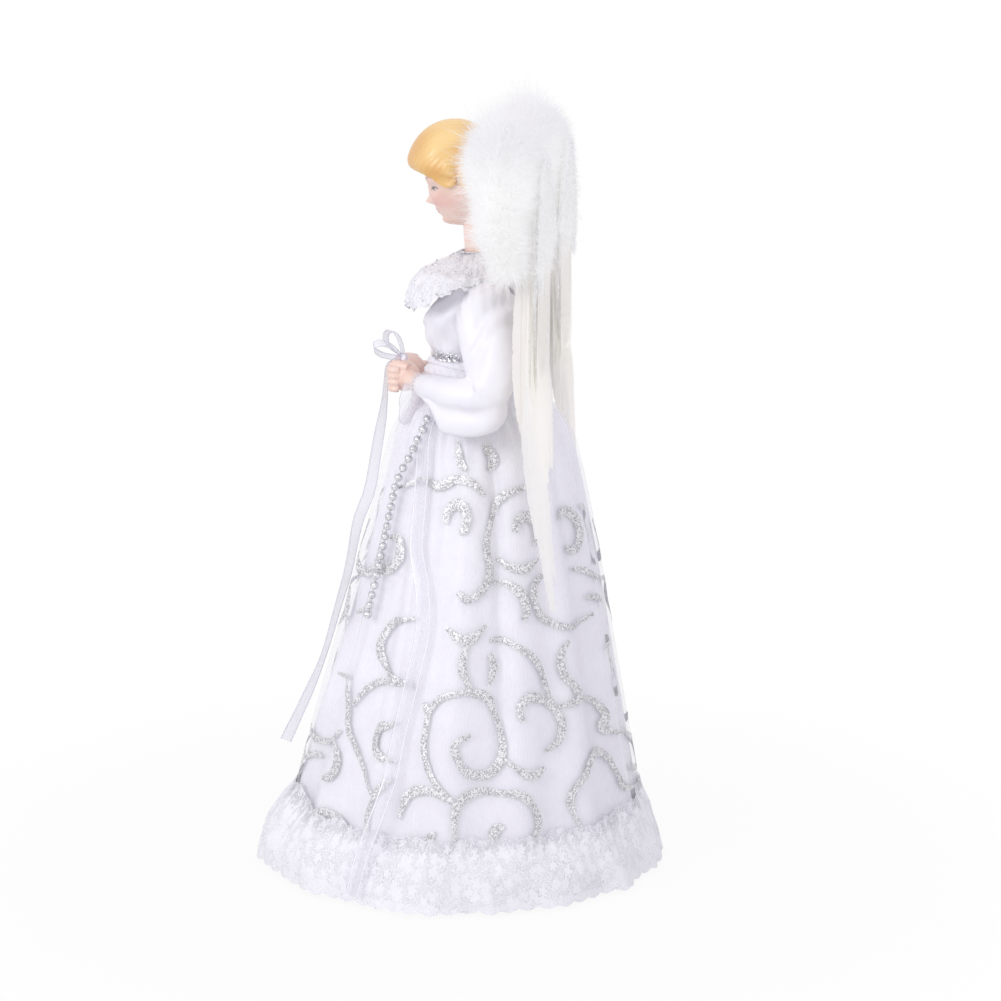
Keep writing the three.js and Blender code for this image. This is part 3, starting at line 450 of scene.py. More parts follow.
def make_lace(name, cell, ground, top):
    """Net lace: fine thread round the cells of a crushed net, with flowers of close stitches and a few
    bits of silver thread. UV is in centimetres; cell is the flowers' pitch in them, ground the opacity of
    the bare net and top the height at which it thins out."""
    look = Look(name, roughness=0.7, sheen_weight=0.3)
    uv = look.uv()
    wander = look.node("ShaderNodeTexNoise", {"noise_dimensions": "2D"},
                       {"Vector": uv, "Scale": 2.2, "Detail": 3})
    pulled = look.node("ShaderNodeVectorMath", {"operation": "MULTIPLY_ADD"}, {
        0: wander.outputs["Color"], 1: (0.35, 0.35, 0), 2: uv}).outputs[0]
    net = look.value("ShaderNodeTexVoronoi", {"feature": "DISTANCE_TO_EDGE", "voronoi_dimensions": "2D"},
                     {"Vector": pulled, "Scale": 11})
    thread = net.ease(0.18, 0.04)
    flower = look.node("ShaderNodeTexVoronoi", {"voronoi_dimensions": "2D"},
                       {"Vector": pulled, "Scale": 1 / cell, "Randomness": 0.9})
    from_heart = look.node("ShaderNodeVectorMath", {"operation": "SUBTRACT"},
                           {0: pulled, 1: flower.outputs["Position"]})
    x, y, _ = look.parts(from_heart.outputs[0])
    radius = (x * x + y * y) ** 0.5 / cell
    turn = y.do("ARCTAN2", x)
    petal = 0.32 + 0.1 * (5 * turn).cos()
    bloom = (petal - radius).ease(-0.03, 0.06)
    vein = (10 * turn + 30 * radius).sin().ease(0.2, 0.8) * bloom
    rim = abs(petal + 0.05 - radius).ease(0.04, 0.015)
    leaf = abs((2 * turn + 9 * radius).sin()).ease(0.35, 0.1) * radius.ease(0.34, 0.42)
    stitched = bloom.or_more(rim).or_more(leaf)
    crushed = look.noise(look.mapped(uv, (7, 34, 1)), 1, 4).ease(0.25, 0.75)
    silver = rim * look.noise(uv, 1.1, 1).ease(0.5, 0.58)
    _, height, _ = look.parts(uv)
    # Partly painted shade: the net is painted darker and lavender in the hollows of its crushed relief; the
    # close stitches are whiter.
    white = look.mix(stitched * 0.25 + crushed * 0.75, (0.88, 0.875, 0.92), (0.97, 0.965, 0.985))
    look.feed(
        base_color=look.mix(silver * 0.8, white, (0.6, 0.6, 0.62)),
        alpha=(ground + 0.2 * thread + 0.3 * stitched - 0.45 * height.ease(0.7 * top, top)).or_less(1.0),
    )
    look.bump(0.25 * stitched + 0.3 * thread - 0.15 * vein + 1.2 * crushed, 0.25, 0.4)
    return look


def make_glitter():
    """Glitter: flat flakes, each turned its own way, with painted glints: each flake's colour is painted
    bright or dark.
    """
    # The emission is a faint painted glow.
    look = Look("silver_glitter", metallic=0.3, emission_color=(1, 1, 1), emission_strength=0.03)
    flakes = look.node("ShaderNodeTexVoronoi", {}, {"Vector": look.here(), "Scale": 2300})
    bright, tilt, _ = look.parts(flakes.outputs["Color"])
    # Painted glint: each flake's colour is painted bright or dark, as if turned to or away from the light.
    look.feed(
        base_color=look.mix(bright.ease(0.05, 0.9), (0.4, 0.4, 0.41), (0.9, 0.9, 0.9)),
        roughness=0.25 + 0.35 * tilt,
    )
    look.bump(tilt, 0.08, 0.5)
    return look


def make_silver():
    """Metallised trim: bright and slightly uneven."""
    look = Look("bright_silver", metallic=1.0)
    uneven = look.noise(look.here(), 900, 2)
    look.feed(
        base_color=look.mix(uneven.ease(0.35, 0.7), (0.62, 0.62, 0.64), (0.88, 0.88, 0.9)),
        roughness=0.12 + 0.16 * uneven,
    )
    look.bump(uneven, 0.04, 0.4)
    return look


def make_fluff(name, colour, shade, top):
    """Down: matt, with painted shade towards the roots of its strands and over the top of the wing, and
    a faint painted glow within that stands in for light scattered many times. UV runs along each strand."""
    # The emission is a painted glow: the down shines a little of its own, though it is no lamp.
    look = Look(name, roughness=0.9, sheen_weight=0.3, sheen_roughness=0.6,
                emission_color=(1, 1, 1), emission_strength=0.17)
    _, along, _ = look.parts(look.uv())
    here = look.here()
    tone = look.noise(here, 140, 3)
    _, _, height = look.parts(here)
    # Painted shade: each strand is darker towards its root, where the strands crowd together.
    strand = look.mix((0.25 + 0.75 * along) * tone.ease(0.2, 0.6), shade, colour)
    # Painted shade: above a set height the down turns to the grey top colour, darker over the top of the
    # wing.
    look.feed(base_color=look.mix(height.ease(0.278, 0.3), strand, top))
    look.through(0.5, colour)
    return look


def make_feather(name, shade, colour, glow):
    """A cut feather: fine slanted barbs in two close tones, with a faint painted glow. UV is
    across, then along in centimetres."""
    # glow is a painted glow: the feather shines a little of its own, though it is no lamp.
    look = Look(name, roughness=0.6, sheen_weight=0.3,
                emission_color=(1, 0.99, 0.95), emission_strength=glow)
    across, along, _ = look.parts(look.uv())
    off = abs(across - 0.5)
    barbs = (70 * along + 55 * off).sin()
    tone = look.noise(look.mapped(look.here(), (240, 240, 30)), 1, 3)
    streak = look.noise(look.mapped(look.uv(), (26, 0.7, 1)), 1, 2).ease(0.4, 0.6)
    warm = look.mix(0.5 * tone.ease(0.35, 0.7) + 0.5 * streak, shade, colour)
    look.feed(base_color=look.mix(barbs.ease(0.2, 1.0) * 0.12, warm, (0.93, 0.91, 0.86)))
    look.bump(barbs, 0.05, 0.3)
    look.through(0.45, (0.99, 0.98, 0.95))
    return look


def make_plain(name, colour, dark, rough, scale, grain=(1, 1, 1), depth=0.05, **constants):
    """A plain stuff with a grain: two close tones, and a fine relief of the same grain."""
    look = Look(name, roughness=rough, **constants)
    tone = look.noise(look.mapped(look.here(), grain), scale, 4, 0.6)
    look.feed(base_color=look.mix(tone.ease(0.3, 0.7), dark, colour), roughness=rough - 0.1 + 0.2 * tone)
    look.bump(tone, depth, 0.5)
    return look


# HAIR_SHADE is the colour of the grooves and of the painted shade towards the sides of the head.
HAIR_GOLD, HAIR_SHADE = (0.95, 0.68, 0.3), (0.79, 0.45, 0.14)


def make_hair():
    """Moulded hair: gold paint, darker in the grooves, with painted shade towards the sides. UV's second
    number is depth.
    """
    look = Look("moulded_hair", coat_weight=0.35, coat_roughness=0.2)
    across, height, _ = look.parts(look.uv())
    wash = look.noise(look.here(), 160, 3)
    # Darker in the grooves, and painted shade towards the sides of the head, away from the lit top and
    # front.
    gold = height.ease(0.1, 0.8) * (0.75 + 0.4 * wash) * (1 - 0.45 * abs(across).ease(0.4, 0.8))
    look.feed(base_color=look.mix(gold, HAIR_SHADE, HAIR_GOLD), roughness=0.3 + 0.15 * wash)
    return look


EYE_ACROSS, EYE_UP = 7.7, -1.8


def make_face():
    """Painted casting: skin with a blush, brows, lowered eyes and lips.
    UV is the face seen from the front, in centimetres from the middle of the head."""
    look = Look("painted_skin", coat_weight=0.12, coat_roughness=0.35, subsurface_weight=0.08,
                subsurface_scale=0.002)
    x, z, _ = look.parts(look.uv())
    x, z = abs(10 * x), 10 * z

    def spot(across, up, wide, tall, soft):
        """An oval of paint with a soft edge."""
        reach = (((x - across) / wide) ** 2 + ((z - up) / tall) ** 2) ** 0.5
        return reach.ease(1 + soft, 1 - soft)

    def stroke(up, bow, start, end, thick):
        """A bowed line of paint across x, from start to end."""
        middle = (start + end) / 2
        line = z - up + bow * ((x - middle) / (end - middle)) ** 2
        ends = x.ease(start - 0.3, start + 0.3) * x.ease(end + 0.3, end - 0.3)
        return abs(line).ease(thick, 0.4 * thick) * ends

    wash = look.noise(look.here(), 130, 3)
    skin = look.mix(wash.ease(0.3, 0.7), (0.9, 0.66, 0.56), (0.935, 0.73, 0.64))
    iris = (EYE_ACROSS - 0.1, EYE_UP - 0.1)
    lips = spot(0, -10.4, 2.9, 0.75, 0.25).or_more(spot(0, -11.5, 2.2, 0.8, 0.25))
    coats = {
        "blush": (spot(7.6, -6.8, 4.2, 3.2, 0.9) * 0.6, (0.88, 0.48, 0.44)),
        "eye shadow": (spot(EYE_ACROSS, EYE_UP + 0.9, 2.9, 1.5, 0.7) * 0.4, (0.72, 0.5, 0.48)),
        "white": (spot(EYE_ACROSS, EYE_UP, 2.1, 0.55, 0.2), (0.85, 0.83, 0.84)),
        "iris": (spot(*iris, 0.8, 0.6, 0.2), (0.2, 0.22, 0.28)),
        "pupil": (spot(*iris, 0.38, 0.4, 0.3), (0.03, 0.03, 0.04)),
        "upper lashes": (stroke(EYE_UP + 0.6, 0.9, EYE_ACROSS - 2.4, EYE_ACROSS + 3.0, 0.5),
                         (0.2, 0.13, 0.12)),
        "lower lashes": (stroke(EYE_UP - 0.8, -0.5, EYE_ACROSS - 1.6, EYE_ACROSS + 1.8, 0.16) * 0.6,
                         (0.5, 0.28, 0.22)),
        "brow": (stroke(3.1, 1.0, EYE_ACROSS - 2.9, EYE_ACROSS + 2.9, 0.5) * 0.75, (0.56, 0.34, 0.17)),
        "lips": (lips * 0.8, (0.76, 0.31, 0.3)),
        "line of the mouth": (stroke(-11.0, 0.25, -2.6, 2.6, 0.16) * 0.7, (0.42, 0.12, 0.12)),
    }
    for cover, paint in coats.values():
        skin = look.mix(cover, skin, paint)
    look.feed(base_color=skin, roughness=0.36 + 0.12 * wash)
    return look


FLOOR_RADIUS = 700


def make_floor():
    """A pale sweep that is white to the camera, with a soft shadow near the figure only."""
    look = Look("white_sweep", base_color=(0.7, 0.7, 0.7), roughness=0.9)
    glow = look.node("ShaderNodeEmission", {}, {"Color": (1, 1, 1), "Strength": 1.0})
    path = look.node("ShaderNodeLightPath", {}, {})
    seen = Value(look, path.outputs["Is Camera Ray"]).or_more(Value(look, path.outputs["Is Glossy Ray"]))
    seen = seen.or_more(Value(look, path.outputs["Is Transmission Ray"]))
    x, y, _ = look.parts(look.here())
    far = ((x * x + y * y) ** 0.5).ease(0.1, 0.3)
    look.blend(seen * (0.93 + 0.07 * far), glow)
    return look


SATIN = make_satin()
ORGANZA = make_organza("sheer_organza", (0.955, 0.95, 0.985), 0.14, 0.25)
RIBBON = make_ribbon("sheer_ribbon", 0.42, (0.8, 0.79, 0.89))
TAIL_RIBBON = make_ribbon("thin_sheer_ribbon", 0.22, (0.88, 0.875, 0.94))
HEM_LACE = make_lace("hem_net_lace", 0.6, 0.84, 2.7)
FINE_LACE = make_lace("collar_net_lace", 0.45, 0.78, 9)
CUFF_LACE = make_organza("sheer_cuff_net", (0.88, 0.87, 0.92), 0.45, 0.75)
GLITTER = make_glitter()
SILVER = make_silver()
# The second colour of the down is its painted shade at the roots, the third its painted shade over the top
# of the wings.
FLUFF = make_fluff("marabou_down", (0.98, 0.98, 0.975), (0.93, 0.93, 0.93), (0.84, 0.84, 0.85))
# The last number of each feather is the strength of its painted glow.
FEATHER = make_feather("white_feather", (0.955, 0.945, 0.92), (0.985, 0.98, 0.965), 0.17)
CREAM_FEATHER = make_feather("cream_feather", (0.9, 0.865, 0.82), (0.97, 0.955, 0.925), 0.05)
HAIR = make_hair()
FACE = make_face()
SKIN = make_plain("hand_skin", (0.935, 0.73, 0.64), (0.89, 0.63, 0.53), 0.42, 160, coat_weight=0.12)
CARD = make_plain("white_lined_card", (0.88, 0.87, 0.85), (0.8, 0.79, 0.76), 0.85, 700, (1, 1, 0.4))
MOULDING = make_plain("white_moulding", (0.9, 0.9, 0.9), (0.86, 0.86, 0.86), 0.5, 500, depth=0.03)
WOOD = make_plain("bare_dowel", (0.76, 0.6, 0.42), (0.6, 0.43, 0.27), 0.7, 1, (900, 900, 60))
WIRE = make_plain("drawn_wire", (0.8, 0.8, 0.81), (0.66, 0.66, 0.68), 0.35, 1, (2500, 2500, 200),
                  metallic=1.0)
WRAP = make_plain("cotton_wrapped_wire", (0.95, 0.95, 0.95), (0.9, 0.9, 0.9), 0.85, 1,
                  (1500, 1500, 1500), 0.1)
PADDING = make_plain("wound_padding", (0.9, 0.89, 0.87), (0.8, 0.79, 0.77), 0.9, 1, (300, 300, 1800), 0.4)


# CAD nodes that stay as they are

KEPT = {
    "card_cone": CARD, "base_rim": MOULDING, "cone_cap": WOOD, "spine_rod": WOOD, "torso_core": PADDING,
    "wing_plate": MOULDING, "left_wing_wire": WRAP, "right_wing_wire": WRAP,
    "left_wing_card": CARD, "right_wing_card": CARD,
}
for node, look in KEPT.items():
    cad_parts[node].data.materials.clear()
    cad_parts[node].data.materials.append(look.material)


# Skirts: one draped surface, with the layers at set distances from it

SET_BACK = 5
WAIST = 202.55
CLOTH = 0.8
CONE_FOOT, CONE_TOP = 2.35, 170.35
CONE_FOOT_RADIUS, CONE_TOP_RADIUS = 68, 22
EASE_HEM, EASE_WAIST = 7, 16
GATHER = 30
WAIST_SURFACE = 16.95
BUSTLE = 2.5
FOLDS, FOLD_DEPTH = 14, 2.2
HEM_LIFT, UNDER_LIFT = 2, 3
ORGANZA_LIFT = 0.4
SATIN_WALL = 0.3

# Long soft folds of the skirt: degrees, how far each stands out or falls in, and its half-width in degrees
PLEATS = (
    (92, 1.5, 13), (106, -2.3, 3.6), (121, 1.0, 10), (147, -1.7, 5), (160, 1.3, 8), (175, -1.9, 5),
    (73, 0.9, 5), (65, -1.7, 3.2), (55, -1.3, 3), (44, 1.2, 8), (30, -1.6, 4), (14, 1.3, 8), (0, -1.6, 5),
    (-16, 1.2, 9), (-34, -1.8, 4), (-52, 1.3, 9), (-70, -1.7, 5), (-90, 1.5, 10), (-108, -2.1, 4),
    (-128, 1.3, 10), (-146, -1.7, 5), (-162, 1.2, 8),
)
PLEAT_FOOT, PLEAT_HEAD = 30, WAIST - 12


def skirt_radius(z):
    """The cone's line with an ease that grows to the waist, drawn in over the gathers."""
    cone = lerp(CONE_FOOT_RADIUS, CONE_TOP_RADIUS, (z - CONE_FOOT) / (CONE_TOP - CONE_FOOT))
    hung = cone + lerp(EASE_HEM, EASE_WAIST, z / WAIST)
    drop = np.clip((WAIST - z) / GATHER, 0, 1)
    return lerp(WAIST_SURFACE, hung, np.sin(drop * np.pi / 2))


def skirt_axis(z):
    """The skirt's middle: it stands back as it rises with the cone, and further back over the bustle."""
    bustle = BUSTLE * np.sin(np.pi * np.clip(z / WAIST, 0, 1) ** 2)
    return SET_BACK * np.minimum(1, z / CONE_TOP) + bustle


def fold_reach(z):
    """How far the broad folds stand in and out: most at the hem, none at the waist."""
    return FOLD_DEPTH * np.maximum(0, 1 - z / WAIST) ** 0.7


def fold_at(degrees):
    """The broad folds round the skirt, from 1 on a crest to -1 in a valley: two waves, unlike in length."""
    angle = np.radians(degrees - 90)
    return 0.75 * np.cos(FOLDS * angle) + 0.25 * np.cos(5 * angle + 1)


def pleats(degrees, z):
    """Long folds that hang from below the sash, drift a little and die out above the lace, and the small
    gathers under the sash."""
    place = degrees - 3 * np.sin(4.5 * z / WAIST)
    long_ones = 0
    for centre, reach, width in PLEATS:
        off = (place - centre + 180) % 360 - 180
        long_ones = long_ones + reach * bell(off, 0, width)
    hanging = ease(z, PLEAT_FOOT, PLEAT_FOOT + 45) * ease(PLEAT_HEAD - z, 0, GATHER)
    gathers = 0.6 * np.sin(np.radians(degrees * 38)) * bell(z, WAIST - 14, 16)
    return long_ones * hanging + gathers * ease(WAIST - z, -2, 8)


def on_skirt(degrees, z, lift=0.0):
    """The draped surface, as a function of degrees from the front and height."""
    radius = skirt_radius(z) + fold_reach(z) * fold_at(degrees) + pleats(degrees, z) + lift
    return about(skirt_axis(z), radius, degrees, z)


def skirt_form(name, low, lift):
    """The draped surface from low to the waist, with its rows a little closer towards the waist."""
    degrees, t = round_grid(*GRIDS[name])
    z = lerp(low, WAIST, t ** 0.9)
    return Form().grid(on_skirt(degrees, z, lift(degrees, z)), closed=True)


def tuck(degrees, z):
    """The underskirt falls closer to the cone than the organza, most of all at the front."""
    front = ease(np.cos(np.radians(degrees)), 0.5, 0.95)
    return -1.1 - 2.0 * front * ease(z, 50, 100) * ease(WAIST - z, 5, 40)


underskirt_form = skirt_form("underskirt", UNDER_LIFT, tuck)
overskirt_form = skirt_form("overskirt", HEM_LIFT, lambda degrees, z: ORGANZA_LIFT)
underskirt = piece("underskirt", underskirt_form, "figure", SATIN, SATIN_WALL)
overskirt = piece("overskirt", overskirt_form, "figure", ORGANZA)


# Glitter scrolls printed on the organza

SCROLL_WIDTH, SCROLL_RISE, SCROLL_LIFT = 3.1, 0.18, 0.42
SCROLL_STEP, SCROLL_SEED = 0.7, 11
SCROLL_ACROSS, SCROLL_DOME = np.array([-1, -0.6, 0, 0.6, 1]), np.array([0.3, 0.8, 1, 0.8, 0.3])

# Strokes of the scrolls on one half of the skirt, as places in degrees and height
SCROLLS = (
    ((130, 161), (116, 160), (108, 157), (104, 152), (100, 140), (102, 131), (101, 125), (97, 121),
     (92, 119), (88, 122)),
    ((105, 134), (111, 131), (119, 130), (127, 133)),
    ((129, 127), (123, 122), (125, 113), (131, 108), (140, 105), (150, 105), (159, 107)),
    ((104, 125), (111, 124), (117, 120), (119, 114), (117, 110)),
    ((84, 108), (91, 104), (96, 105), (101, 109)),
    ((94, 104), (92, 95), (94, 89), (97, 84)),
    ((103, 98), (105, 93), (103, 86)),
    ((103, 103), (108, 103), (115, 100), (121, 96), (125, 90), (128, 81), (132, 73)),
    ((69, 110), (57, 107), (52, 98), (56, 91), (65, 86), (73, 85)),
    ((73, 84), (60, 85), (50, 80), (45, 72)),
    ((24, 80), (35, 80), (42, 74), (45, 64), (50, 57), (57, 49), (63, 42)),
    ((68, 70), (61, 67), (60, 61), (63, 57), (70, 55)),
    ((78, 79), (80, 75), (80, 68), (80, 62), (83, 53), (87, 48), (93, 42)),
    ((80, 73), (83, 80), (88, 83), (95, 84), (102, 82), (105, 77), (108, 69), (109, 61), (107, 55),
     (102, 52), (96, 54), (92, 61), (92, 65), (97, 68)),
    ((116, 72), (115, 77), (119, 81), (125, 79), (131, 74), (133, 68), (131, 62), (125, 59)),
    ((109, 58), (114, 54), (120, 51), (125, 53)),
    ((94, 24), (93, 37), (95, 43), (101, 46), (108, 45), (115, 44), (120, 38), (121, 31), (117, 25)),
    ((106, 26), (106, 30), (109, 33)),
    ((74, 34), (76, 43), (82, 46), (87, 45), (93, 42)),
    ((77, 27), (83, 26), (87, 31)),
    ((137, 27), (134, 37), (136, 43), (141, 48), (143, 51), (149, 54), (156, 50), (160, 42), (163, 36),
     (172, 33)),
    ((139, 100), (135, 95), (135, 88), (140, 82), (142, 77), (132, 75)),
    ((142, 78), (153, 73), (158, 66), (155, 62), (166, 57)),
    ((14, 56), (20, 52), (34, 55), (42, 62)),
    ((39, 57), (43, 51), (42, 44), (36, 41)),
    ((15, 42), (22, 46), (29, 47)),
    ((26, 105), (33, 108), (40, 109)),
    ((155, 114), (162, 113), (169, 109)),
    ((149, 126), (158, 124), (169, 118)),
    ((64, 40), (66, 45), (70, 49)),
    ((64, 41), (63, 33), (64, 26)),
    ((32, 21), (41, 29), (50, 28), (56, 24)),
    ((44, 158), (59, 162), (72, 161), (82, 164), (92, 163), (99, 158)),
    ((78, 147), (79, 152), (84, 155), (89, 152), (89, 146), (86, 144)),
    ((114, 144), (117, 149), (124, 149), (128, 144), (125, 138)),
    ((143, 146), (149, 149), (156, 145), (157, 138), (152, 133), (146, 135)),
    ((82, 178), (84, 171), (88, 168)),
    ((99, 177), (104, 172), (102, 167)),
    ((33, 140), (38, 130), (46, 126), (52, 131), (50, 138), (45, 139)),
    ((8, 140), (14, 126), (22, 121), (30, 124), (30, 132)),
    ((12, 96), (18, 104), (14, 113), (4, 116)),
    ((160, 150), (170, 146), (178, 136), (174, 126), (166, 126)),
    ((163, 92), (172, 94), (180, 88), (182, 78), (176, 71), (169, 75), (171, 82)),
    ((178, 58), (186, 50), (194, 44), (190, 35), (182, 37)),
    ((78, 23), (83, 20), (90, 20), (95, 22)),
    ((99, 22), (106, 19), (113, 19), (119, 22)),
    ((122, 22), (127, 19), (132, 21)),
    ((56, 24), (61, 20), (66, 21)),
)


def stroke_grid(places, rng):
    """A domed stroke along places on the skirt: broad in its bends, tapered at its ends, grainy-edged."""
    per_degree = np.radians(skirt_radius(np.mean(places[:, 1])))
    scale = np.array([per_degree, 1])
    steps = max(12, int(path_length(places * scale) / SCROLL_STEP))
    flat = spline(places * scale, steps)
    tangent = unit(np.gradient(flat, axis=0))
    side = np.stack([-tangent[:, 1], tangent[:, 0]], -1)
    t = np.linspace(0, 1, steps)
    bend = np.linalg.norm(np.gradient(tangent, axis=0), axis=1) / SCROLL_STEP
    bend = np.convolve(np.pad(bend, 6, "edge"), np.ones(13) / 13, "valid")
    width = SCROLL_WIDTH * (0.35 + 0.65 * np.sin(np.pi * np.clip(0.06 + 0.9 * t, 0, 1)) ** 0.6)
    width = width * lerp(0.75, 1.25, ease(bend, 0.02, 0.13))
    grain = 1 + 0.05 * rng.standard_normal((steps, 5))
    spread = flat[:, None] + side[:, None] * (width[:, None] / 2 * SCROLL_ACROSS * grain)[..., None]
    rise = SCROLL_RISE * SCROLL_DOME * (1 + 0.15 * rng.standard_normal((steps, 5)))
    z = np.clip(spread[..., 1], HEM_LIFT, WAIST - 5)
    return on_skirt(spread[..., 0] / per_degree, z, SCROLL_LIFT + np.abs(rise))


def scrolls_form():
    """All the strokes, and the same again half a turn round the skirt."""
    rng = np.random.default_rng(SCROLL_SEED)
    form = Form()
    for half_turn in (0, 180):
        for places in SCROLLS:
            form.grid(stroke_grid(np.array(places, float) + [half_turn, 0], rng), outward=False)
    return form


scrolls = piece("glitter_scrolls", scrolls_form(), "figure", GLITTER)


# Hem lace

LACE_LIFT, LACE_HEIGHT, LACE_RUFFLES, LACE_DEPTH = 1, 27, 28, 1.8
HEM_RADIUS_CM, LACE_FULLNESS = 8.0, 1.25


def hem_lace_form():
    """A gathered flounce: broad uneven ruffles that deepen towards a scalloped edge. Its top lies on the
    folds of the skirt in small gathers, and it stands out most at the front."""
    rows, columns = GRIDS["hem_lace"]
    degrees, t = round_grid(rows, columns)
    angle = np.radians(degrees)
    scallop = 1.1 * (1 - np.abs(np.sin(angle * LACE_RUFFLES * 1.2 + 0.4 * np.sin(5 * angle))))
    heading = 0.5 * np.sin(angle * 23) + 0.4 * np.sin(angle * 37 + 1) + 0.3 * np.sin(angle * 83 + 2)
    heading = heading + 5 * bell((degrees + 180) % 360, 188, 22) + 2.5 * bell(degrees, 176, 30)
    z = lerp(LACE_LIFT + 0.2 + scallop, LACE_LIFT + LACE_HEIGHT + heading, t)
    sewn = 0.95 * ease(t, 0.3, 0.95)
    sway = LACE_RUFFLES / 2 * angle + 1.8 * np.sin(3 * angle) + 0.9 * np.sin(7 * angle + 2.5 * t)
    uneven = 1 + 0.4 * np.sin(5 * angle + 1)
    ruffle = LACE_DEPTH * 1.5 * (1 - 0.75 * t) * (0.5 + 0.5 * np.cos(sway)) * uneven
    small = 0.45 * np.cos(37 * angle + 3 * t + 2 * np.sin(4 * angle)) * (1 - t)
    gathers = 0.2 * np.sin(angle * 97 + 2 * t + np.sin(8 * angle)) * t ** 2
    crush = 0.3 * np.sin(9 * angle + 11 * t + 2 * np.sin(6 * angle)) * np.sin(np.pi * t)
    swing = 5 * bell((degrees + 180) % 360, 196, 42) * np.sin(np.pi * (0.3 + 0.7 * t)) ** 1.2
    lying = fold_reach(z) * lerp(1, fold_at(degrees), sewn)
    off = lerp(CLOTH + 0.8, CLOTH, ease(t, 0.6, 1))
    radius = skirt_radius(z) + lying + off + ruffle + small + gathers + crush + swing
    u = np.linspace(0, 360, columns + 1) / 360 * 2 * np.pi * HEM_RADIUS_CM * LACE_FULLNESS
    uv = vec(u[None, :], t * LACE_HEIGHT / 10)
    return Form().grid(about(skirt_axis(z), radius, degrees, z), closed=True, uv=uv)


hem_lace = piece("hem_lace", hem_lace_form(), "figure", HEM_LACE)


# Torso: bodice, sash and spray

BUST_LINE, SHOULDER = WAIST + 19, WAIST + 35
WAIST_RADIUS = 15
BUST_HALF_WIDTH, BUST_HALF_DEPTH, BUST_FORWARD = 17, 16, 3
SHOULDER_HALF_WIDTH, SHOULDER_HALF_DEPTH = 18, 11
CLEARANCE = 0.35


def torso_point(degrees, z, offset):
    """An oval section that swells at the chest and flattens at the shoulders."""
    chest = ease(z, WAIST, BUST_LINE)
    top = ease(z, BUST_LINE, SHOULDER)
    half_width = lerp(lerp(WAIST_RADIUS, BUST_HALF_WIDTH, chest), SHOULDER_HALF_WIDTH, top)
    half_depth = lerp(lerp(WAIST_RADIUS, BUST_HALF_DEPTH, chest), SHOULDER_HALF_DEPTH, top)
    forward = BUST_FORWARD * chest * (1 - top)
    angle = np.radians(degrees)
    return vec((half_width + offset) * np.sin(angle),
               SET_BACK - forward - (half_depth + offset) * np.cos(angle), z)


def bodice_form():
    """A crossed front: two panels whose edges slant from each shoulder to the far side of the waist,
    with soft folds along them and gathers at the waist."""
    degrees, t = round_grid(*GRIDS["bodice"], start=-180)
    z = lerp(WAIST + CLEARANCE, SHOULDER + CLEARANCE, t)
    front = ease(np.abs(degrees), 110, 60)
    slant = degrees / 62 + 1.15 - 2.2 * t
    other = -degrees / 62 + 1.15 - 2.2 * t
    over = 0.9 * ease(slant, -0.04, 0.04) * front
    under = 0.45 * ease(other, -0.04, 0.04) * front
    folds = 0.6 * np.cos(7 * slant) * ease(slant, 0, 0.3) * front + 0.5 * np.cos(6 * other) * front
    gathers = 0.3 * np.sin(np.radians(degrees * 30)) * (1 - t) ** 2
    bust = 1.3 * bell(np.abs(degrees), 32, 22) * bell(t, 0.5, 0.24)
    points = torso_point(degrees, z, CLEARANCE + CLOTH - 0.5 + over + under + folds + gathers + bust)
    return Form().grid(points, closed=True)


bodice = piece("bodice", bodice_form(), "figure", SATIN, SATIN_WALL)

SASH_BELOW, SASH_ABOVE, SASH_WALL, SASH_PLEATS = 6, 4, 1.8, 3


def sash_form():
    """Three twisted rolls of satin round the waist that wander into each other, closed at the back."""
    degrees, t = round_grid(*GRIDS["sash"])
    angle = np.radians(degrees)
    z = lerp(WAIST - SASH_BELOW, WAIST + SASH_ABOVE, t) + 0.7 * np.sin(2 * angle + 1) * np.sin(np.pi * t)
    inside = skirt_radius(np.minimum(z, WAIST)) + CLOTH + 0.9
    along = SASH_PLEATS * t + 0.2 * np.sin(angle * 3 + 3 * t)
    roll = np.abs(np.sin(np.pi * along))
    twist = 0.24 * np.sin(angle * 34 + 5 * along + 0.8 * np.sin(5 * angle)) * roll
    ends = np.sqrt(np.clip(np.sin(np.pi * t), 0, 1))
    radius = inside - 0.6 + (SASH_WALL * (0.35 + 0.65 * roll ** 0.7) + twist + 0.6) * ends
    return Form().grid(about(SET_BACK, radius, degrees, z), closed=True)


sash = piece("sash", sash_form(), "figure", SATIN, SATIN_WALL)

SPRAY_HEIGHT = WAIST + SASH_ABOVE + CLEARANCE + 1.2
SPRAY_RADIUS = WAIST_SURFACE + SASH_WALL
LEAF_LENGTH = 5.8


def spray_place(degrees, lift, out=0.0):
    """A place on the waist, lifted along it and out from it."""
    return about(SET_BACK, SPRAY_RADIUS + out, degrees, SPRAY_HEIGHT + lift)


def leaf_grid(degrees, lift, lean, length, wide):
    """A leaf on the waist: pointed at both ends, folded a little along its middle."""
    t = np.linspace(0, 1, 9)[:, None]
    s = np.array([-1, -0.5, 0, 0.5, 1])[None, :]
    half = wide * np.sin(np.pi * np.clip(t, 0.02, 0.98)) ** 0.8
    along, up = length * t, half * s
    turn = math.radians(lean)
    run = along * math.cos(turn) - up * math.sin(turn)
    rise = along * math.sin(turn) + up * math.cos(turn)
    out = 0.5 + 0.45 * np.abs(s) * half + 0.5 * np.sin(np.pi * t)
    return spray_place(degrees + np.degrees(run / SPRAY_RADIUS), lift + rise, out)


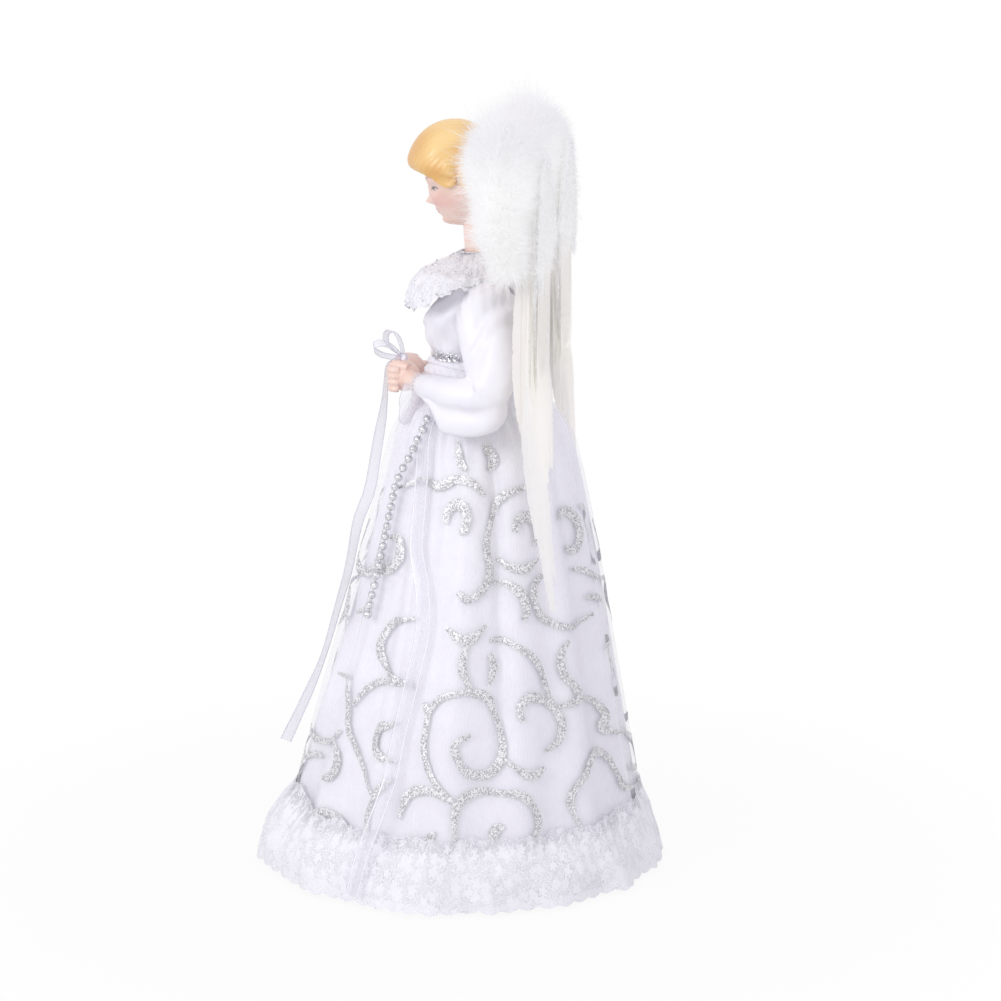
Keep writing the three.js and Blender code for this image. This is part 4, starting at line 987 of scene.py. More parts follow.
def spray_form():
    """A thin stem round the waist, with leaves, two small flowers and silver seeds towards its left end."""
    form = Form()
    form.tube(spray_place(np.linspace(14, 76, 40), 0.4 * np.sin(np.linspace(0, 9, 40))), 0.18, 6)
    for i in range(5):
        for lean in (32, -24):
            form.grid(leaf_grid(34 + 8 * i, 0, lean, LEAF_LENGTH - 2.2, 0.45), outward=False)
    for heart in (44, 62):
        for petal in range(5):
            form.grid(leaf_grid(heart, 0.4, 72 * petal + 18, 1.8, 0.45), outward=False)
        form.ball(spray_place(heart, 0.4, 1.2), (0.45, 0.45, 0.45), 6, 8)
    for i in range(9):
        form.ball(spray_place(30 + 5 * i, 1.6 * math.sin(2.4 * i), 0.9), (0.32, 0.32, 0.32), 5, 7)
    return form


piece("waist_spray", spray_form(), "figure", SILVER)


# Collar and its braid

NECK_RADIUS = 5.9
NECK_FOOT = SHOULDER + CLEARANCE + 8
COLLAR_SWEEP = 150
YOKE_TOP = NECK_FOOT + 1.2
BRAID_SEQUINS = 60

# The collar's section from the neck to its edge: how far out and how far down, at the front and the side
COLLAR_OUT_FRONT = ((0, 0), (0.2, 4), (0.42, 9.5), (0.62, 15.5), (0.78, 19.5), (0.9, 21.4), (1, 21))
COLLAR_DOWN_FRONT = ((0, 0), (0.2, 1.8), (0.42, 4.2), (0.62, 7.2), (0.78, 12), (0.9, 18), (1, 22))
COLLAR_OUT_SIDE = ((0, 0), (0.45, 11.9), (0.7, 16.8), (1, 20.5))
COLLAR_DOWN_SIDE = ((0, 0), (0.45, 6.6), (0.7, 7.6), (1, 12))
COLLAR_OUT_BACK = ((0, 0), (0.45, 4.9), (1, 9))


def collar_point(degrees, t, lift=0.0):
    """A frill that lies out from the neck over the shoulders, then falls and ruffles towards its edge."""
    angle = np.radians(degrees)
    facing = np.cos(angle)
    front = ease(facing, 0.1, 0.9)
    fall = np.clip((t - 0.4) / 0.6, 0, 1)
    waves = 0.9 * np.cos(18 * angle + 0.6 * np.sin(3 * angle)) + 0.5 * np.cos(41 * angle + 1)
    ruffle = waves * fall ** 1.3
    ripple = 0.3 * np.cos(29 * angle + 3 * t) * ease(t, 0.05, 0.4) * (1 - fall)
    start = NECK_RADIUS + lerp(0.4, 1.05, ease(t, 0, 0.2)) + lift + ruffle
    width = start + between(COLLAR_OUT_SIDE, t)
    depth = start + np.where(facing > 0, between(COLLAR_OUT_FRONT, t), between(COLLAR_OUT_BACK, t))
    z = YOKE_TOP + CLOTH - lerp(between(COLLAR_DOWN_SIDE, t), between(COLLAR_DOWN_FRONT, t), front)
    scallop = 0.8 * np.abs(np.sin(27 * angle)) * fall ** 6
    z = z + ripple + lift + 0.7 * np.sin(18 * angle + 1.2) * fall + scallop
    return vec(width * np.sin(angle), SET_BACK + 0.4 - depth * facing, z)


def collar_form():
    """The whole frill; UV is in centimetres along and across it."""
    rows, columns = GRIDS["collar"]
    degrees = np.linspace(-COLLAR_SWEEP, COLLAR_SWEEP, columns)[None, :]
    t = np.linspace(0, 1, rows)[:, None]
    uv = vec(np.linspace(0, 16, columns)[None, :], t * 3)
    return Form().grid(collar_point(degrees, t), uv=uv)


collar = piece("collar_lace", collar_form(), "figure", FINE_LACE)


def braid_form():
    """A row of silver sequins round the neckline."""
    form = Form()
    for i in range(BRAID_SEQUINS):
        degrees = np.array(lerp(-COLLAR_SWEEP, COLLAR_SWEEP, i / (BRAID_SEQUINS - 1)))
        place = collar_point(degrees, np.array(0.03 + 0.02 * (i % 2)), 0.4)
        form.ball(place, (0.62, 0.62, 0.4), 5, 8)
    return form


braid = piece("neckline_braid", braid_form(), "figure", SILVER)


# Rows of grains on the collar: how far from the neck to the edge, how widely strewn, and how many
COLLAR_GRAINS = ((0.12, 0.05, 90), (0.5, 0.15, 90), (0.97, 0.02, 110))
GRAIN_SEED = 5


def collar_glitter_form():
    """Silver grains strewn over the frill, thickest along its crest and its edge. Beside the sleeves they
    stay clear of the edge, so that a raised sleeve has room."""
    form = Form()
    rng = np.random.default_rng(GRAIN_SEED)
    for crest, spread, count in COLLAR_GRAINS:
        for degrees, t in zip(rng.uniform(-140, 140, count), rng.normal(crest, spread, count)):
            most = lerp(0.995, 0.88, bell(abs(degrees), 95, 30))
            place = collar_point(np.array(degrees), np.array(np.clip(t, 0.02, most)), 0.3)
            form.ball(place, np.array([0.4, 0.4, 0.28]) * rng.uniform(0.5, 1.0), 3, 5)
    return form


collar_glitter = piece("collar_glitter", collar_glitter_form(), "figure", SILVER)


# Head: skin with its features, then the moulded hair

HEAD_CENTRE = np.array([0, -1, 278.0])
HEAD_HALF_WIDTH, FACE_DEPTH, SKULL_DEPTH, HEAD_HALF_HEIGHT = 14.5, 14, 17, 19.5
HEAD_NOD = math.radians(16)
NOD = np.array([[1, 0, 0], [0, math.cos(HEAD_NOD), -math.sin(HEAD_NOD)],
                [0, math.sin(HEAD_NOD), math.cos(HEAD_NOD)]])
BARE_SKIN = 3.0  # a place on the face's UV map that has no paint


def head_surface(side, fall):
    """A ball stretched to a head, narrowed at the jaw, with nose, lips, eyes and cheeks raised on it."""
    ring = np.sin(fall)
    facing = np.cos(side) > 0
    depth = np.where(facing, FACE_DEPTH * ring ** 0.75, SKULL_DEPTH * ring)
    x = HEAD_HALF_WIDTH * ring * np.sin(side)
    y = -depth * np.cos(side)
    z = HEAD_HALF_HEIGHT * np.cos(fall) + 0 * side
    low = np.clip(-z / HEAD_HALF_HEIGHT, 0, 1)
    x = x * (1 - 0.3 * low ** 2)
    y = y * np.where(facing, 1 + 0.06 * low, 1 - 0.3 * low)
    face = np.maximum(0, np.cos(side)) ** 0.7 * ring ** 0.5

    def bump(across, wide, up, tall):
        """A soft mound on both halves of the face."""
        return face * bell(np.abs(x), across, wide) * bell(z, up, tall)

    bridge = 0.6 * bump(0, 1.2, -2.8, 2.4)
    tip = 3.0 * bump(0, 1.5, -6.3, 1.6) + 0.7 * bump(1.7, 0.8, -7.0, 0.9)
    lips = 0.5 * bump(0, 2.8, -10.3, 0.75) + 0.5 * bump(0, 2.1, -11.7, 0.8)
    lips = lips - 0.4 * bump(0, 2.6, -11.0, 0.28)
    chin = 3.0 * bump(0, 3.8, -16.2, 2.5) - 0.5 * bump(0, 2.6, -13.6, 0.8)
    muzzle = 0.6 * bump(0, 4.2, -11, 3)
    eyes = -1.7 * bump(EYE_ACROSS, 2.9, EYE_UP, 1.9) + 0.7 * bump(EYE_ACROSS, 1.8, EYE_UP, 1.0)
    lids = 0.35 * bump(EYE_ACROSS, 2.2, EYE_UP + 1.1, 0.45)
    brow = 0.6 * bump(5, 4.2, 2.6, 1.5)
    cheeks = 0.9 * bump(7, 3.8, -6.5, 3.2)
    y = y - (bridge + tip + lips + chin + muzzle + eyes + lids + brow + cheeks)
    ear = bell(y, -1.0, 2.1) * bell(z, -7.4, 2.7) * np.abs(np.sin(side)) ** 2
    hollow = bell(y, -1.4, 0.9) * bell(z, -7.1, 1.4) * np.abs(np.sin(side)) ** 2
    x = x + np.sign(x) * (2.0 * ear - 1.5 * hollow)
    return vec(x, y, z)


def on_head(local):
    """Points about the middle of the head, nodded and put in their place."""
    return local @ NOD.T + HEAD_CENTRE


def head_form():
    """The head, with its columns crowded round the face, on a neck that spreads into a shoulder plate."""
    form = Form()
    rows, columns = GRIDS["head"]
    turn = np.linspace(-np.pi, np.pi, columns, endpoint=False)[None, :]
    side = turn - 0.4 * np.sin(turn)
    fall = np.pi * ((np.arange(rows) + 0.5) / rows)[:, None]
    local = head_surface(side, fall)
    seam = np.concatenate([local, local[:, :1]], axis=1)
    uv = np.where(seam[..., 1:2] > 3, BARE_SKIN, seam[..., [0, 2]] / 10)
    form.grid(on_head(local), closed=True, capped=True, uv=uv)
    rows, columns = GRIDS["neck"]
    t = np.linspace(0, 1, rows)[:, None]
    angle = turns(columns)[None, :]
    z = lerp(SHOULDER + CLEARANCE, HEAD_CENTRE[2] - 6, t)
    plate = 1 - ease(z, SHOULDER, NECK_FOOT) ** 0.7
    half_width = lerp(NECK_RADIUS, SHOULDER_HALF_WIDTH, plate)
    half_depth = lerp(NECK_RADIUS, SHOULDER_HALF_DEPTH, plate)
    middle = SET_BACK + 0.8 * (1 - plate) - 1.8 * ease(z, NECK_FOOT, HEAD_CENTRE[2])
    hollow = 0.5 * bell(angle, 1.5 * np.pi, 0.3) * bell(z, NECK_FOOT + 1, 2)
    neck = vec((half_width - hollow) * np.cos(angle), middle + (half_depth - hollow) * np.sin(angle), z)
    form.grid(neck, closed=True, capped=True, uv=np.full((rows, columns + 1, 2), BARE_SKIN))
    return form


piece("head_and_shoulders", head_form(), "figure", FACE, node="head_bust")

# The hairline: how far over the head it starts, in degrees, from the middle of the brow to the ear
HAIRLINE = ((0, 20), (0.15, 19), (0.31, 15), (0.45, 11), (0.6, 3), (0.7, -17), (0.8, -46), (0.9, -78),
            (1, -98))


def hair_form():
    """Hair combed back from the brow: lines run from the hairline over the crown to the nape, in locks
    with fine grooves, and stand up in a roll over the forehead."""
    rows, columns = GRIDS["hair"]
    across = np.linspace(-1, 1, columns)[None, :]
    t = np.linspace(0, 1, rows)[:, None]
    lean = np.radians(89.6) * across
    start = np.radians(np.interp(np.abs(across), *np.transpose(HAIRLINE)))
    end = np.radians(212 + 79 * across ** 2)
    turn = lerp(start, end, t)
    way = vec(np.sin(lean) + 0 * turn, -np.cos(lean) * np.cos(turn), np.cos(lean) * np.sin(turn))
    depth = np.where(way[..., 1] < 0, FACE_DEPTH + 0.6, SKULL_DEPTH)
    low = np.clip(-way[..., 2], 0, 1)
    reach = 1 / np.sqrt((way[..., 0] / HEAD_HALF_WIDTH) ** 2 + (way[..., 1] / depth) ** 2
                        + (way[..., 2] / HEAD_HALF_HEIGHT) ** 2)
    reach = reach * (1 - 0.14 * low)
    comb = across + 0.04 * np.sin(4 * turn + 2 * across)
    lock = np.cos(15 * comb + 0.5 + 0.9 * np.sin(2.1 * turn + 5 * across))
    fine = np.cos(83 * comb + 2 * np.sin(3 * turn))
    wave = np.cos(3.9 * turn + 3.0 * np.abs(across) - 0.6)
    relief = 0.28 * lock + 0.07 * fine + 0.5 * wave
    edge = ease(t, 0, 0.07) * ease(1 - t, 0, 0.07)
    rise = np.degrees(turn)
    roll = 4.6 * np.where(rise < 44, bell(rise, 44, 17), bell(rise, 44, 34)) * bell(across, 0, 0.6)
    temple = 1.6 * bell(turn, np.radians(22), np.radians(26)) * bell(np.abs(across), 0.55, 0.2)
    bun = 3.0 * bell(turn, np.radians(186), np.radians(20)) * bell(across, 0, 0.42)
    thick = -0.5 + (2.2 + 0.75 * relief + roll + temple + bun) * edge
    local = way * (reach + thick)[..., None]
    overhang = 2.4 * bell(rise, 36, 15) * bell(across, 0, 0.5) * edge
    local = local + vec(0, -overhang, -0.9 * overhang)
    return Form().grid(on_head(local), uv=vec(across, 0.5 + 0.42 * relief))


piece("moulded_hair", hair_form(), "figure", HAIR)


# Trim that hangs on the skirt

BEAD_RADIUS, BEAD_PITCH, BEAD_COUNT, BEAD_START, BEAD_ANGLE = 1.5, 4, 21, 17, 45
BEAD_FULLNESS, BEAD_THREAD = 1.12, 0.4
RIBBON_WIDTH, RIBBON_WALL, SASH_TAIL_WIDTH = 4.4, 0.5, 6


def trim_place(degrees, z, lift):
    """A place on the crest of the folds near it, as far out as the trim lies there."""
    near = [fold_reach(z) * (fold_at(beside) + 0.2) + pleats(beside, z)
            for beside in (degrees - 4, degrees, degrees + 4)]
    radius = skirt_radius(z) + np.max(near, axis=0) + CLOTH + lift
    return about(skirt_axis(z), radius, degrees, z)


bead_z = WAIST - BEAD_START - BEAD_PITCH * 0.96 * np.arange(BEAD_COUNT)
bead_top = ease(bead_z, 156, 188)
bead_path = trim_place(BEAD_ANGLE + 14 * bead_top, bead_z, CLEARANCE + BEAD_RADIUS + 0.7 * bead_top)


def bead_form():
    """Round beads moulded on one thread."""
    form = Form()
    form.tube(bead_path, BEAD_THREAD, 6)
    for place in bead_path:
        form.ball(place, np.full(3, BEAD_FULLNESS * BEAD_RADIUS), 8, 11)
    return form


beads = piece("bead_strand", bead_form(), "figure", SILVER)


def ribbon_form(path, across, width, cup, edge):
    """A ribbon along a path: seven points across it, cupped a little, with a fine cord of radius edge woven
    into each side. width may change along the path."""
    side, face = square_to(path, across)
    s = np.linspace(-1, 1, 7)
    half = np.broadcast_to(np.asarray(width, float), (len(path),))[:, None, None] / 2
    flat = path[:, None] + side[:, None] * s[None, :, None] * half
    grid = flat + face[:, None] * (cup * s ** 2)[None, :, None]
    return Form().grid(grid, outward=False).tube(grid[:, 0], edge, 5).tube(grid[:, -1], edge, 5)


LACE_TOP = LACE_LIFT + LACE_HEIGHT
TAIL_SWAY = ((0, 57), (0.25, 62), (0.45, 74), (0.75, 70), (1, 65))
tail_t = np.linspace(0, 1, 14)
tail_z = lerp(WAIST - SASH_BELOW - CLEARANCE - 1, 2 * LACE_LIFT + 3, tail_t)
tail_lift = 4.2 * (1 - ease(tail_z, LACE_TOP, LACE_TOP + 16)) + 1.2 * CLEARANCE + RIBBON_WALL / 2
tail_path = spline(trim_place(between(TAIL_SWAY, tail_t), tail_z, tail_lift), 120)
tail_across = unit(vec(SET_BACK - tail_path[:, 1], tail_path[:, 0], 0))
tail_form = ribbon_form(tail_path, tail_across, SASH_TAIL_WIDTH, 0.3, 0.12)
sash_tail = piece("sash_tail", tail_form, "figure", TAIL_RIBBON)


# Arms

ARM_HEIGHT, ARM_Y = SHOULDER - 9.5, SET_BACK + 3 + CLEARANCE + 0.9
FIST = np.array([7, -23.8, ARM_HEIGHT - 29.4])
SLEEVE_START = SHOULDER_HALF_WIDTH + CLEARANCE + CLOTH + 0.7
ELBOW = np.array([SLEEVE_START + 25, ARM_Y + 4, ARM_HEIGHT - 31])
WRIST = (FIST[0] + 12, FIST[1] + 9.6, FIST[2] - 1.4)
ARM_PLACES = (
    (SLEEVE_START, ARM_Y + 3.2, ARM_HEIGHT),
    (SLEEVE_START + 4, ARM_Y + 3.6, ARM_HEIGHT - 0.2),
    (SLEEVE_START + 14, ARM_Y + 4.8, ARM_HEIGHT - 8),
    (ELBOW[0] - 2, ELBOW[1] + 3.4, lerp(ARM_HEIGHT, ELBOW[2], 0.66)),
    (ELBOW[0], ELBOW[1] + 0.4, ELBOW[2] + 0.6),
    (ELBOW[0] - 1.4, ELBOW[1] - 9.2, ELBOW[2] - 0.2),
    (ELBOW[0] - 8, ELBOW[1] - 17.8, ELBOW[2] + 0.4),
    (ELBOW[0] - 17, ELBOW[1] - 23.8, ELBOW[2] + 0.7),
    WRIST,
)

# Along the sleeve from shoulder to wrist: how far it stands off the arm, and how far its underside sags
SLEEVE_SIZE = ((0, 2), (0.025, 11), (0.1, 12.6), (0.26, 11.8), (0.45, 9.7), (0.55, 9), (0.66, 7.6),
               (0.78, 6.2), (0.9, 4.8), (1, 4.1))
SLEEVE_SAG = ((0, 0), (0.34, 0), (0.45, 4.6), (0.56, 5.6), (0.63, 7), (0.69, 7), (0.735, 2.8),
              (0.775, 0), (1, 0))
SLEEVE_FRAME = np.array([-0.55, 0.65, -0.52])  # never in line with the arm


def mirrored(points, side):
    """Points of the left side as they are, or those of the right side, where side is -1."""
    return points * [side, 1, 1]


def sleeve_form(side):
    """A full satin sleeve: gathered at the shoulder and the wrist, with long folds that run from the
    shoulder to the elbow and a crease under the forearm where the cloth hangs."""
    rows, columns = GRIDS["sleeve"]
    path = spline(ARM_PLACES, rows)
    t = np.linspace(0, 1, rows)[:, None]
    angle = turns(columns)[None, :]
    out = ring_ways(path, SLEEVE_FRAME, angle)
    size = between(SLEEVE_SIZE, t)
    ends = (1 - t) ** 9 + ease(t, 0.84, 1)
    gathers = 0.035 * np.sin(17 * angle + 2 * np.sin(5 * t)) * ends
    folds = 0.045 * np.sin(3 * angle + 4 * t + 1) + 0.03 * np.sin(5 * angle - 11 * t)
    elbow = -0.07 * bell(t + 0.05 * np.sin(2 * angle), 0.47, 0.03)
    elbow = elbow - 0.05 * bell(t - 0.06 * np.sin(angle), 0.56, 0.025)
    swags = 0.03 * np.sin(2 * angle + 15 * t) * np.sin(np.pi * t) + elbow
    crease = -0.22 * bell(out[..., 2], -0.35, 0.13) * ease(t, 0.4, 0.5) * ease(t, 0.84, 0.74)
    slant = t + 0.12 * out[..., 1]
    puff = -0.24 * bell(slant, 0.18, 0.05) + 0.06 * bell(slant, 0.235, 0.03) - 0.06 * bell(slant, 0.3, 0.03)
    crease = crease + puff * ease(out[..., 0], -0.1, 0.5)
    reach = size * (1 + gathers + (folds + swags) * np.sin(np.pi * np.clip(t, 0, 1)) ** 0.7 + crease)
    points = path[:, None] + out * reach[..., None]
    points[..., 2] -= between(SLEEVE_SAG, t) * ease(-out[..., 2], 0.1, 0.8)
    near = ease(t, 0.45, 0.35)
    points[..., 0] = lerp(points[..., 0], np.maximum(SLEEVE_START, points[..., 0]), near)
    return Form().grid(mirrored(points, side), closed=True)


CUFF_PLACES = (FIST + [13, 10.4, -1.5], FIST + [9, 7.8, -1.5], FIST + [5.5, 5.4, -2.0])
WRIST_PLACES = (FIST + [14, 11, -1.6], FIST + [7.5, 6, -1.0], FIST + [3, 2.6, -0.3])
WRIST_RADIUS, PALM_RADIUS, WIRE_RADIUS = 3.6, 3.9, 0.9
CUFF_FRAME = np.array([0.1, 0.2, 1.0])  # never in line with the wrist
THUMB = ((4.0, 2.6, 3.8), (2.9, -0.6, 4.8), (1.2, -3.2, 4.9), (-0.8, -4.8, 4.2))


def cuff_form(side):
    """A sheer frill that opens from the wrist and hangs well below it, with a thread in its edge."""
    rows, columns = GRIDS["cuff"]
    path = spline(CUFF_PLACES, rows)
    t = np.linspace(0, 1, rows)[:, None]
    angle = turns(columns)[None, :]
    out = ring_ways(path, CUFF_FRAME, angle)
    below = np.maximum(0, -out[..., 2])
    ruffle = (0.5 * np.cos(7 * angle + 1) + 0.3 * np.cos(12 * angle)) * t ** 1.5
    reach = WRIST_RADIUS + 0.35 + (2.6 * t + ruffle) * (0.25 + 0.75 * below)
    points = path[:, None] + out * reach[..., None]
    points[..., 2] -= 10 * t ** 1.6 * below
    points[..., 1] -= 4 * t ** 2 * below
    points = mirrored(points, side)
    return Form().grid(points, closed=True).tube(np.vstack([points[-1], points[-1, :1]]), 0.17, 5)


def hand_form(side):
    """A closed hand: the back of the hand, four curled fingers, a thumb over them and the wrist."""
    form = Form()
    form.tube(mirrored(spline(WRIST_PLACES, 14), side), np.linspace(WRIST_RADIUS, PALM_RADIUS, 14), 20)
    form.ball(mirrored(FIST + [0.4, 0.6, 0.2], side), (5.2, 6.2, 6.2), 18, 26)
    curl = np.linspace(-0.5, 3.6, 16)
    for i in range(4):
        drop = 3.7 - 2.55 * i
        thick = 1.65 - 0.1 * i
        finger = vec(4.7 - 4.6 * (1 - np.cos(curl)) * 0.62, -2.5 - 2.4 * np.sin(curl), drop - 0.6)
        form.tube(mirrored(FIST + finger, side), thick * np.linspace(1, 0.8, 16), 10)
    thumb = spline(FIST + np.array(THUMB), 14)
    return form.tube(mirrored(thumb, side), np.linspace(2.1, 1.45, 14), 12)


def soften_hand(obj):
    """The overlapping parts of a hand become one skin, softened."""
    remesh = obj.modifiers.new("skin", "REMESH")
    remesh.mode = "VOXEL"
    remesh.voxel_size = 0.28 * MM
    remesh.use_smooth_shade = True
    soften = obj.modifiers.new("soften", "SMOOTH")
    soften.factor = 0.5
    soften.iterations = 4


def arm_wire_form():
    """The soft wire that runs from hand to hand through the sleeves and the shoulders."""
    half = spline([*ARM_PLACES[:-1], WRIST_PLACES[1]], 90)
    return Form().tube(np.vstack([mirrored(half, -1)[::-1], half]), WIRE_RADIUS, 8)


piece("armature_wire", arm_wire_form(), "arms", WIRE)
sleeves, cuffs = [], []
for name, side in SIDES.items():
    sleeves.append(piece(f"{name}_sleeve", sleeve_form(side), "arms", SATIN, SATIN_WALL))
    cuffs.append(piece(f"{name}_cuff", cuff_form(side), "arms", CUFF_LACE))
    soften_hand(piece(f"{name}_hand", hand_form(side), "arms", SKIN))


# Bow in the hands

KNOT_HALF_WIDTH, KNOT_HALF_HEIGHT, BOW_LOOP = 1.9, 1.6, 13.4
KNOT = FIST + [-1, 0, 5.6 + KNOT_HALF_HEIGHT]
LOOP_PLACES, LOOP_START = 60, 0.6
BOW_CORD = 0.2


def knot_form():
    """A small pinched knot: a ball with a soft groove round it and creases across."""
    fall = np.pi * ((np.arange(24) + 0.5) / 24)[:, None]
    side = turns(36)[None, :]
    crease = 1 + 0.08 * np.cos(5 * side + 3 * fall) - 0.1 * bell(np.cos(fall), 0, 0.25)
    size = np.array([KNOT_HALF_WIDTH, KNOT_HALF_WIDTH, KNOT_HALF_HEIGHT])
    return Form().grid(KNOT + ball_ways(fall, side) * size * crease[..., None], closed=True, capped=True)


def loop_form(direction, opening, length):
    """A ribbon loop that leaves the knot, rounds and comes back, narrow at the knot."""
    out = unit(np.array(direction, float))
    opening = np.array(opening, float)
    wide = unit(opening - out * np.dot(opening, out))
    turn = np.linspace(LOOP_START, 2 * np.pi - LOOP_START, LOOP_PLACES)
    reach = KNOT_HALF_WIDTH - 0.6 + length * (math.cos(LOOP_START) - np.cos(turn)) / 2
    swell = 0.27 * length * np.sin(turn) * np.sin(turn / 2)
    path = KNOT + out * reach[:, None] + wide * swell[:, None]
    width = RIBBON_WIDTH * lerp(0.45, 1.0, np.sin(np.pi * np.linspace(0, 1, LOOP_PLACES)) ** 0.6)
    return ribbon_form(path, np.cross(out, wide)[None], width, 0.15, BOW_CORD)


BOW_TAIL_PLACES = np.vstack([
    KNOT + [[-1, -KNOT_HALF_WIDTH - 0.6, 0], [-2, -6.4, -3], [-2.5, -7.4, -10], [-2.5, -8.6, -21],
            [-2, -11.4, -37], [-1, -14.4, -54]],
    trim_place(np.array([6.0, 8, 9, 8, 7, 6]), np.array([138.0, 120, 102, 84, 68, 46]),
               np.array([3.2, 1.4, 1.2, 1.4, 3.5, 8])),
])
BOW_TAIL_TWIST = ((0, 5), (0.08, 14), (0.22, 55), (0.36, 74), (0.5, 40), (0.75, 25), (0.9, 55), (1, 75))
bow_tail_path = spline(BOW_TAIL_PLACES, 150)
bow_tail_twist = np.radians(between(BOW_TAIL_TWIST, np.linspace(0, 1, len(bow_tail_path))))
bow_tail_across = vec(np.cos(bow_tail_twist), -np.sin(bow_tail_twist), 0)
bow_tail_form = ribbon_form(bow_tail_path, bow_tail_across, RIBBON_WIDTH, 0.2, BOW_CORD)

# Each loop: the way that it leaves the knot, and the way that it opens
BOW_LOOPS = {
    "bow_loop_left": ((0.42, -0.8, 0.42), (0.3, 0.4, 0.8)),
    "bow_loop_right": ((-0.5, -0.6, 0.74), (0.1, 0.8, 0.6)),
}

piece("bow_knot", knot_form(), "arms", RIBBON)
for name, (direction, opening) in BOW_LOOPS.items():
    piece(name, loop_form(direction, opening, BOW_LOOP), "arms", RIBBON)
bow_tail = piece("bow_tail", bow_tail_form, None, RIBBON)
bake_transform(bow_tail)


# Wings: marabou on the arch, and three rows of cut feathers under it

HINGE_X, HINGE_Y, WING_STANDOFF = 7, 24.43, 7
BOA_BACK = HINGE_Y + WING_STANDOFF
BOA_THICKNESS = 23
ARCH = ((8, 25), (13, 46), (26, 65), (41, 70), (54, 57), (59, 35), (56, 21))
BOA_WIDTH = ((0, 7), (0.12, 10), (0.3, 13), (0.6, 14), (0.8, 12), (1, 6))
BOA_DEPTH = ((0, 0.3), (0.3, 0.85), (0.55, 1), (0.8, 0.76), (0.92, 0.5), (1, 0.3))
BOA_END = 0.94
FEATHER_WALL = 0.5
FEATHER_PITCH = FEATHER_WALL + CLEARANCE
LONG_FEATHERS, SHORT_FEATHERS, COVER_FEATHERS, COVER_LAYER = 7, 4, 7, 4.6
LONG_SEED, SHORT_SEED, COVER_SEED = 40, 60, 80
LONG_TIP, SHORT_TIP, LOWEST = 117, 176, 0.68
FEATHER_WIDTH, FEATHER_DROOP = 9.5, 9
CARD_FOOT = BUST_LINE - 16
CARD_BACK = BOA_BACK + 3.8
CARD_EDGE = np.array([(11, 26), (15, 44), (27, 61), (41, 65), (53, 53), (57, 32), (55, 8), (46, -12),
                      (32, -16), (19, -8), (12, 8)], float)
CARD_MIDDLE = np.array([35, 22.0])
BACK_WRAP = 6

# Down: strands in each layer, where they start and end from the boa's middle to its surface, their width
# and the places along each; then the counts on the back and the wire, and the taper of a strand
DOWN_LAYERS = ((26000, 0.3, 1.0, 0.26, 3), (24000, 0.45, 1.15, 0.17, 4), (13500, 0.6, 1.4, 0.1, 4))
BACK_STRANDS, BACK_SEED = 12000, 700
WIRE_STRANDS, WIRE_SEED = 4500, 720
STRAND_WIDTH = ((0, 1), (0.33, 0.85), (0.67, 0.55), (1, 0.12))
SHORT_STRAND_WIDTH = np.array([0.3, 0.28, 0.2, 0.05])
DOWN_EDGE, DOWN_STRAY = 78, 9
WIRE_START, WIRE_SHARE = (4, 24), 0.94
EDGE_PLACES, WIRE_PLACES, WIRE_ROOT = 400, 300, 25
SHINGLE = math.radians(26)

ARCH_PLACES = 200
arch_path = spline([(HINGE_X + out, 0, BUST_LINE + up) for out, up in ARCH], ARCH_PLACES)
arch_tangent = unit(np.gradient(arch_path, axis=0))


def boa_frame(t):
    """At places along the arch, the boa's centre, its width direction, the arch's own direction and the
    boa's two half-sizes."""
    i = np.clip((t * (ARCH_PLACES - 1)).astype(int), 0, ARCH_PLACES - 1)
    depth = BOA_THICKNESS / 2 * between(BOA_DEPTH, t)
    centre = arch_path[i] + vec(0, BOA_BACK - depth, 0)
    across = vec(-arch_tangent[i, 2], 0, arch_tangent[i, 0])
    return centre, across, arch_tangent[i], between(BOA_WIDTH, t), depth


def boa_core_form(side):
    """The close down along the quill: a lumpy body inside the strands."""
    rows, columns = GRIDS["boa"]
    t = np.linspace(0, BOA_END, rows)
    centre, across, _, width, depth = boa_frame(t)
    angle = turns(columns)[None, :]
    lumps = 0.72 + 0.07 * np.sin(5 * angle + 23 * t[:, None]) + 0.06 * np.sin(9 * angle - 41 * t[:, None])
    ends = np.sqrt(np.sin(np.pi * np.clip(t / BOA_END, 0.004, 0.996)) / 0.5).clip(0, 1)[:, None]
    size = lumps * ends
    points = (centre[:, None] + across[:, None] * (width[:, None] * np.cos(angle) * size)[..., None]
              + vec(0, depth[:, None] * np.sin(angle) * size, 0))
    return Form().grid(mirrored(points, side), closed=True, capped=True)


def strands_form(side, rng, root, tip, bend, widths):
    """Ribbons from root to tip, bowed by bend in their middle, each turned its own way and as wide as
    widths give along it, more or less."""
    along = np.linspace(0, 1, len(widths))[None, :, None]
    lines = root[:, None] + (tip - root)[:, None] * along + bend[:, None] * (along * (1 - along) * 4)
    turned = unit(np.cross(tip - root, rng.normal(0, 1, root.shape)))[:, None]
    fullness = rng.uniform(0.6, 1.3, len(root))[:, None]
    return Form().ribbons(mirrored(lines, side), turned, widths[None, :] * fullness)


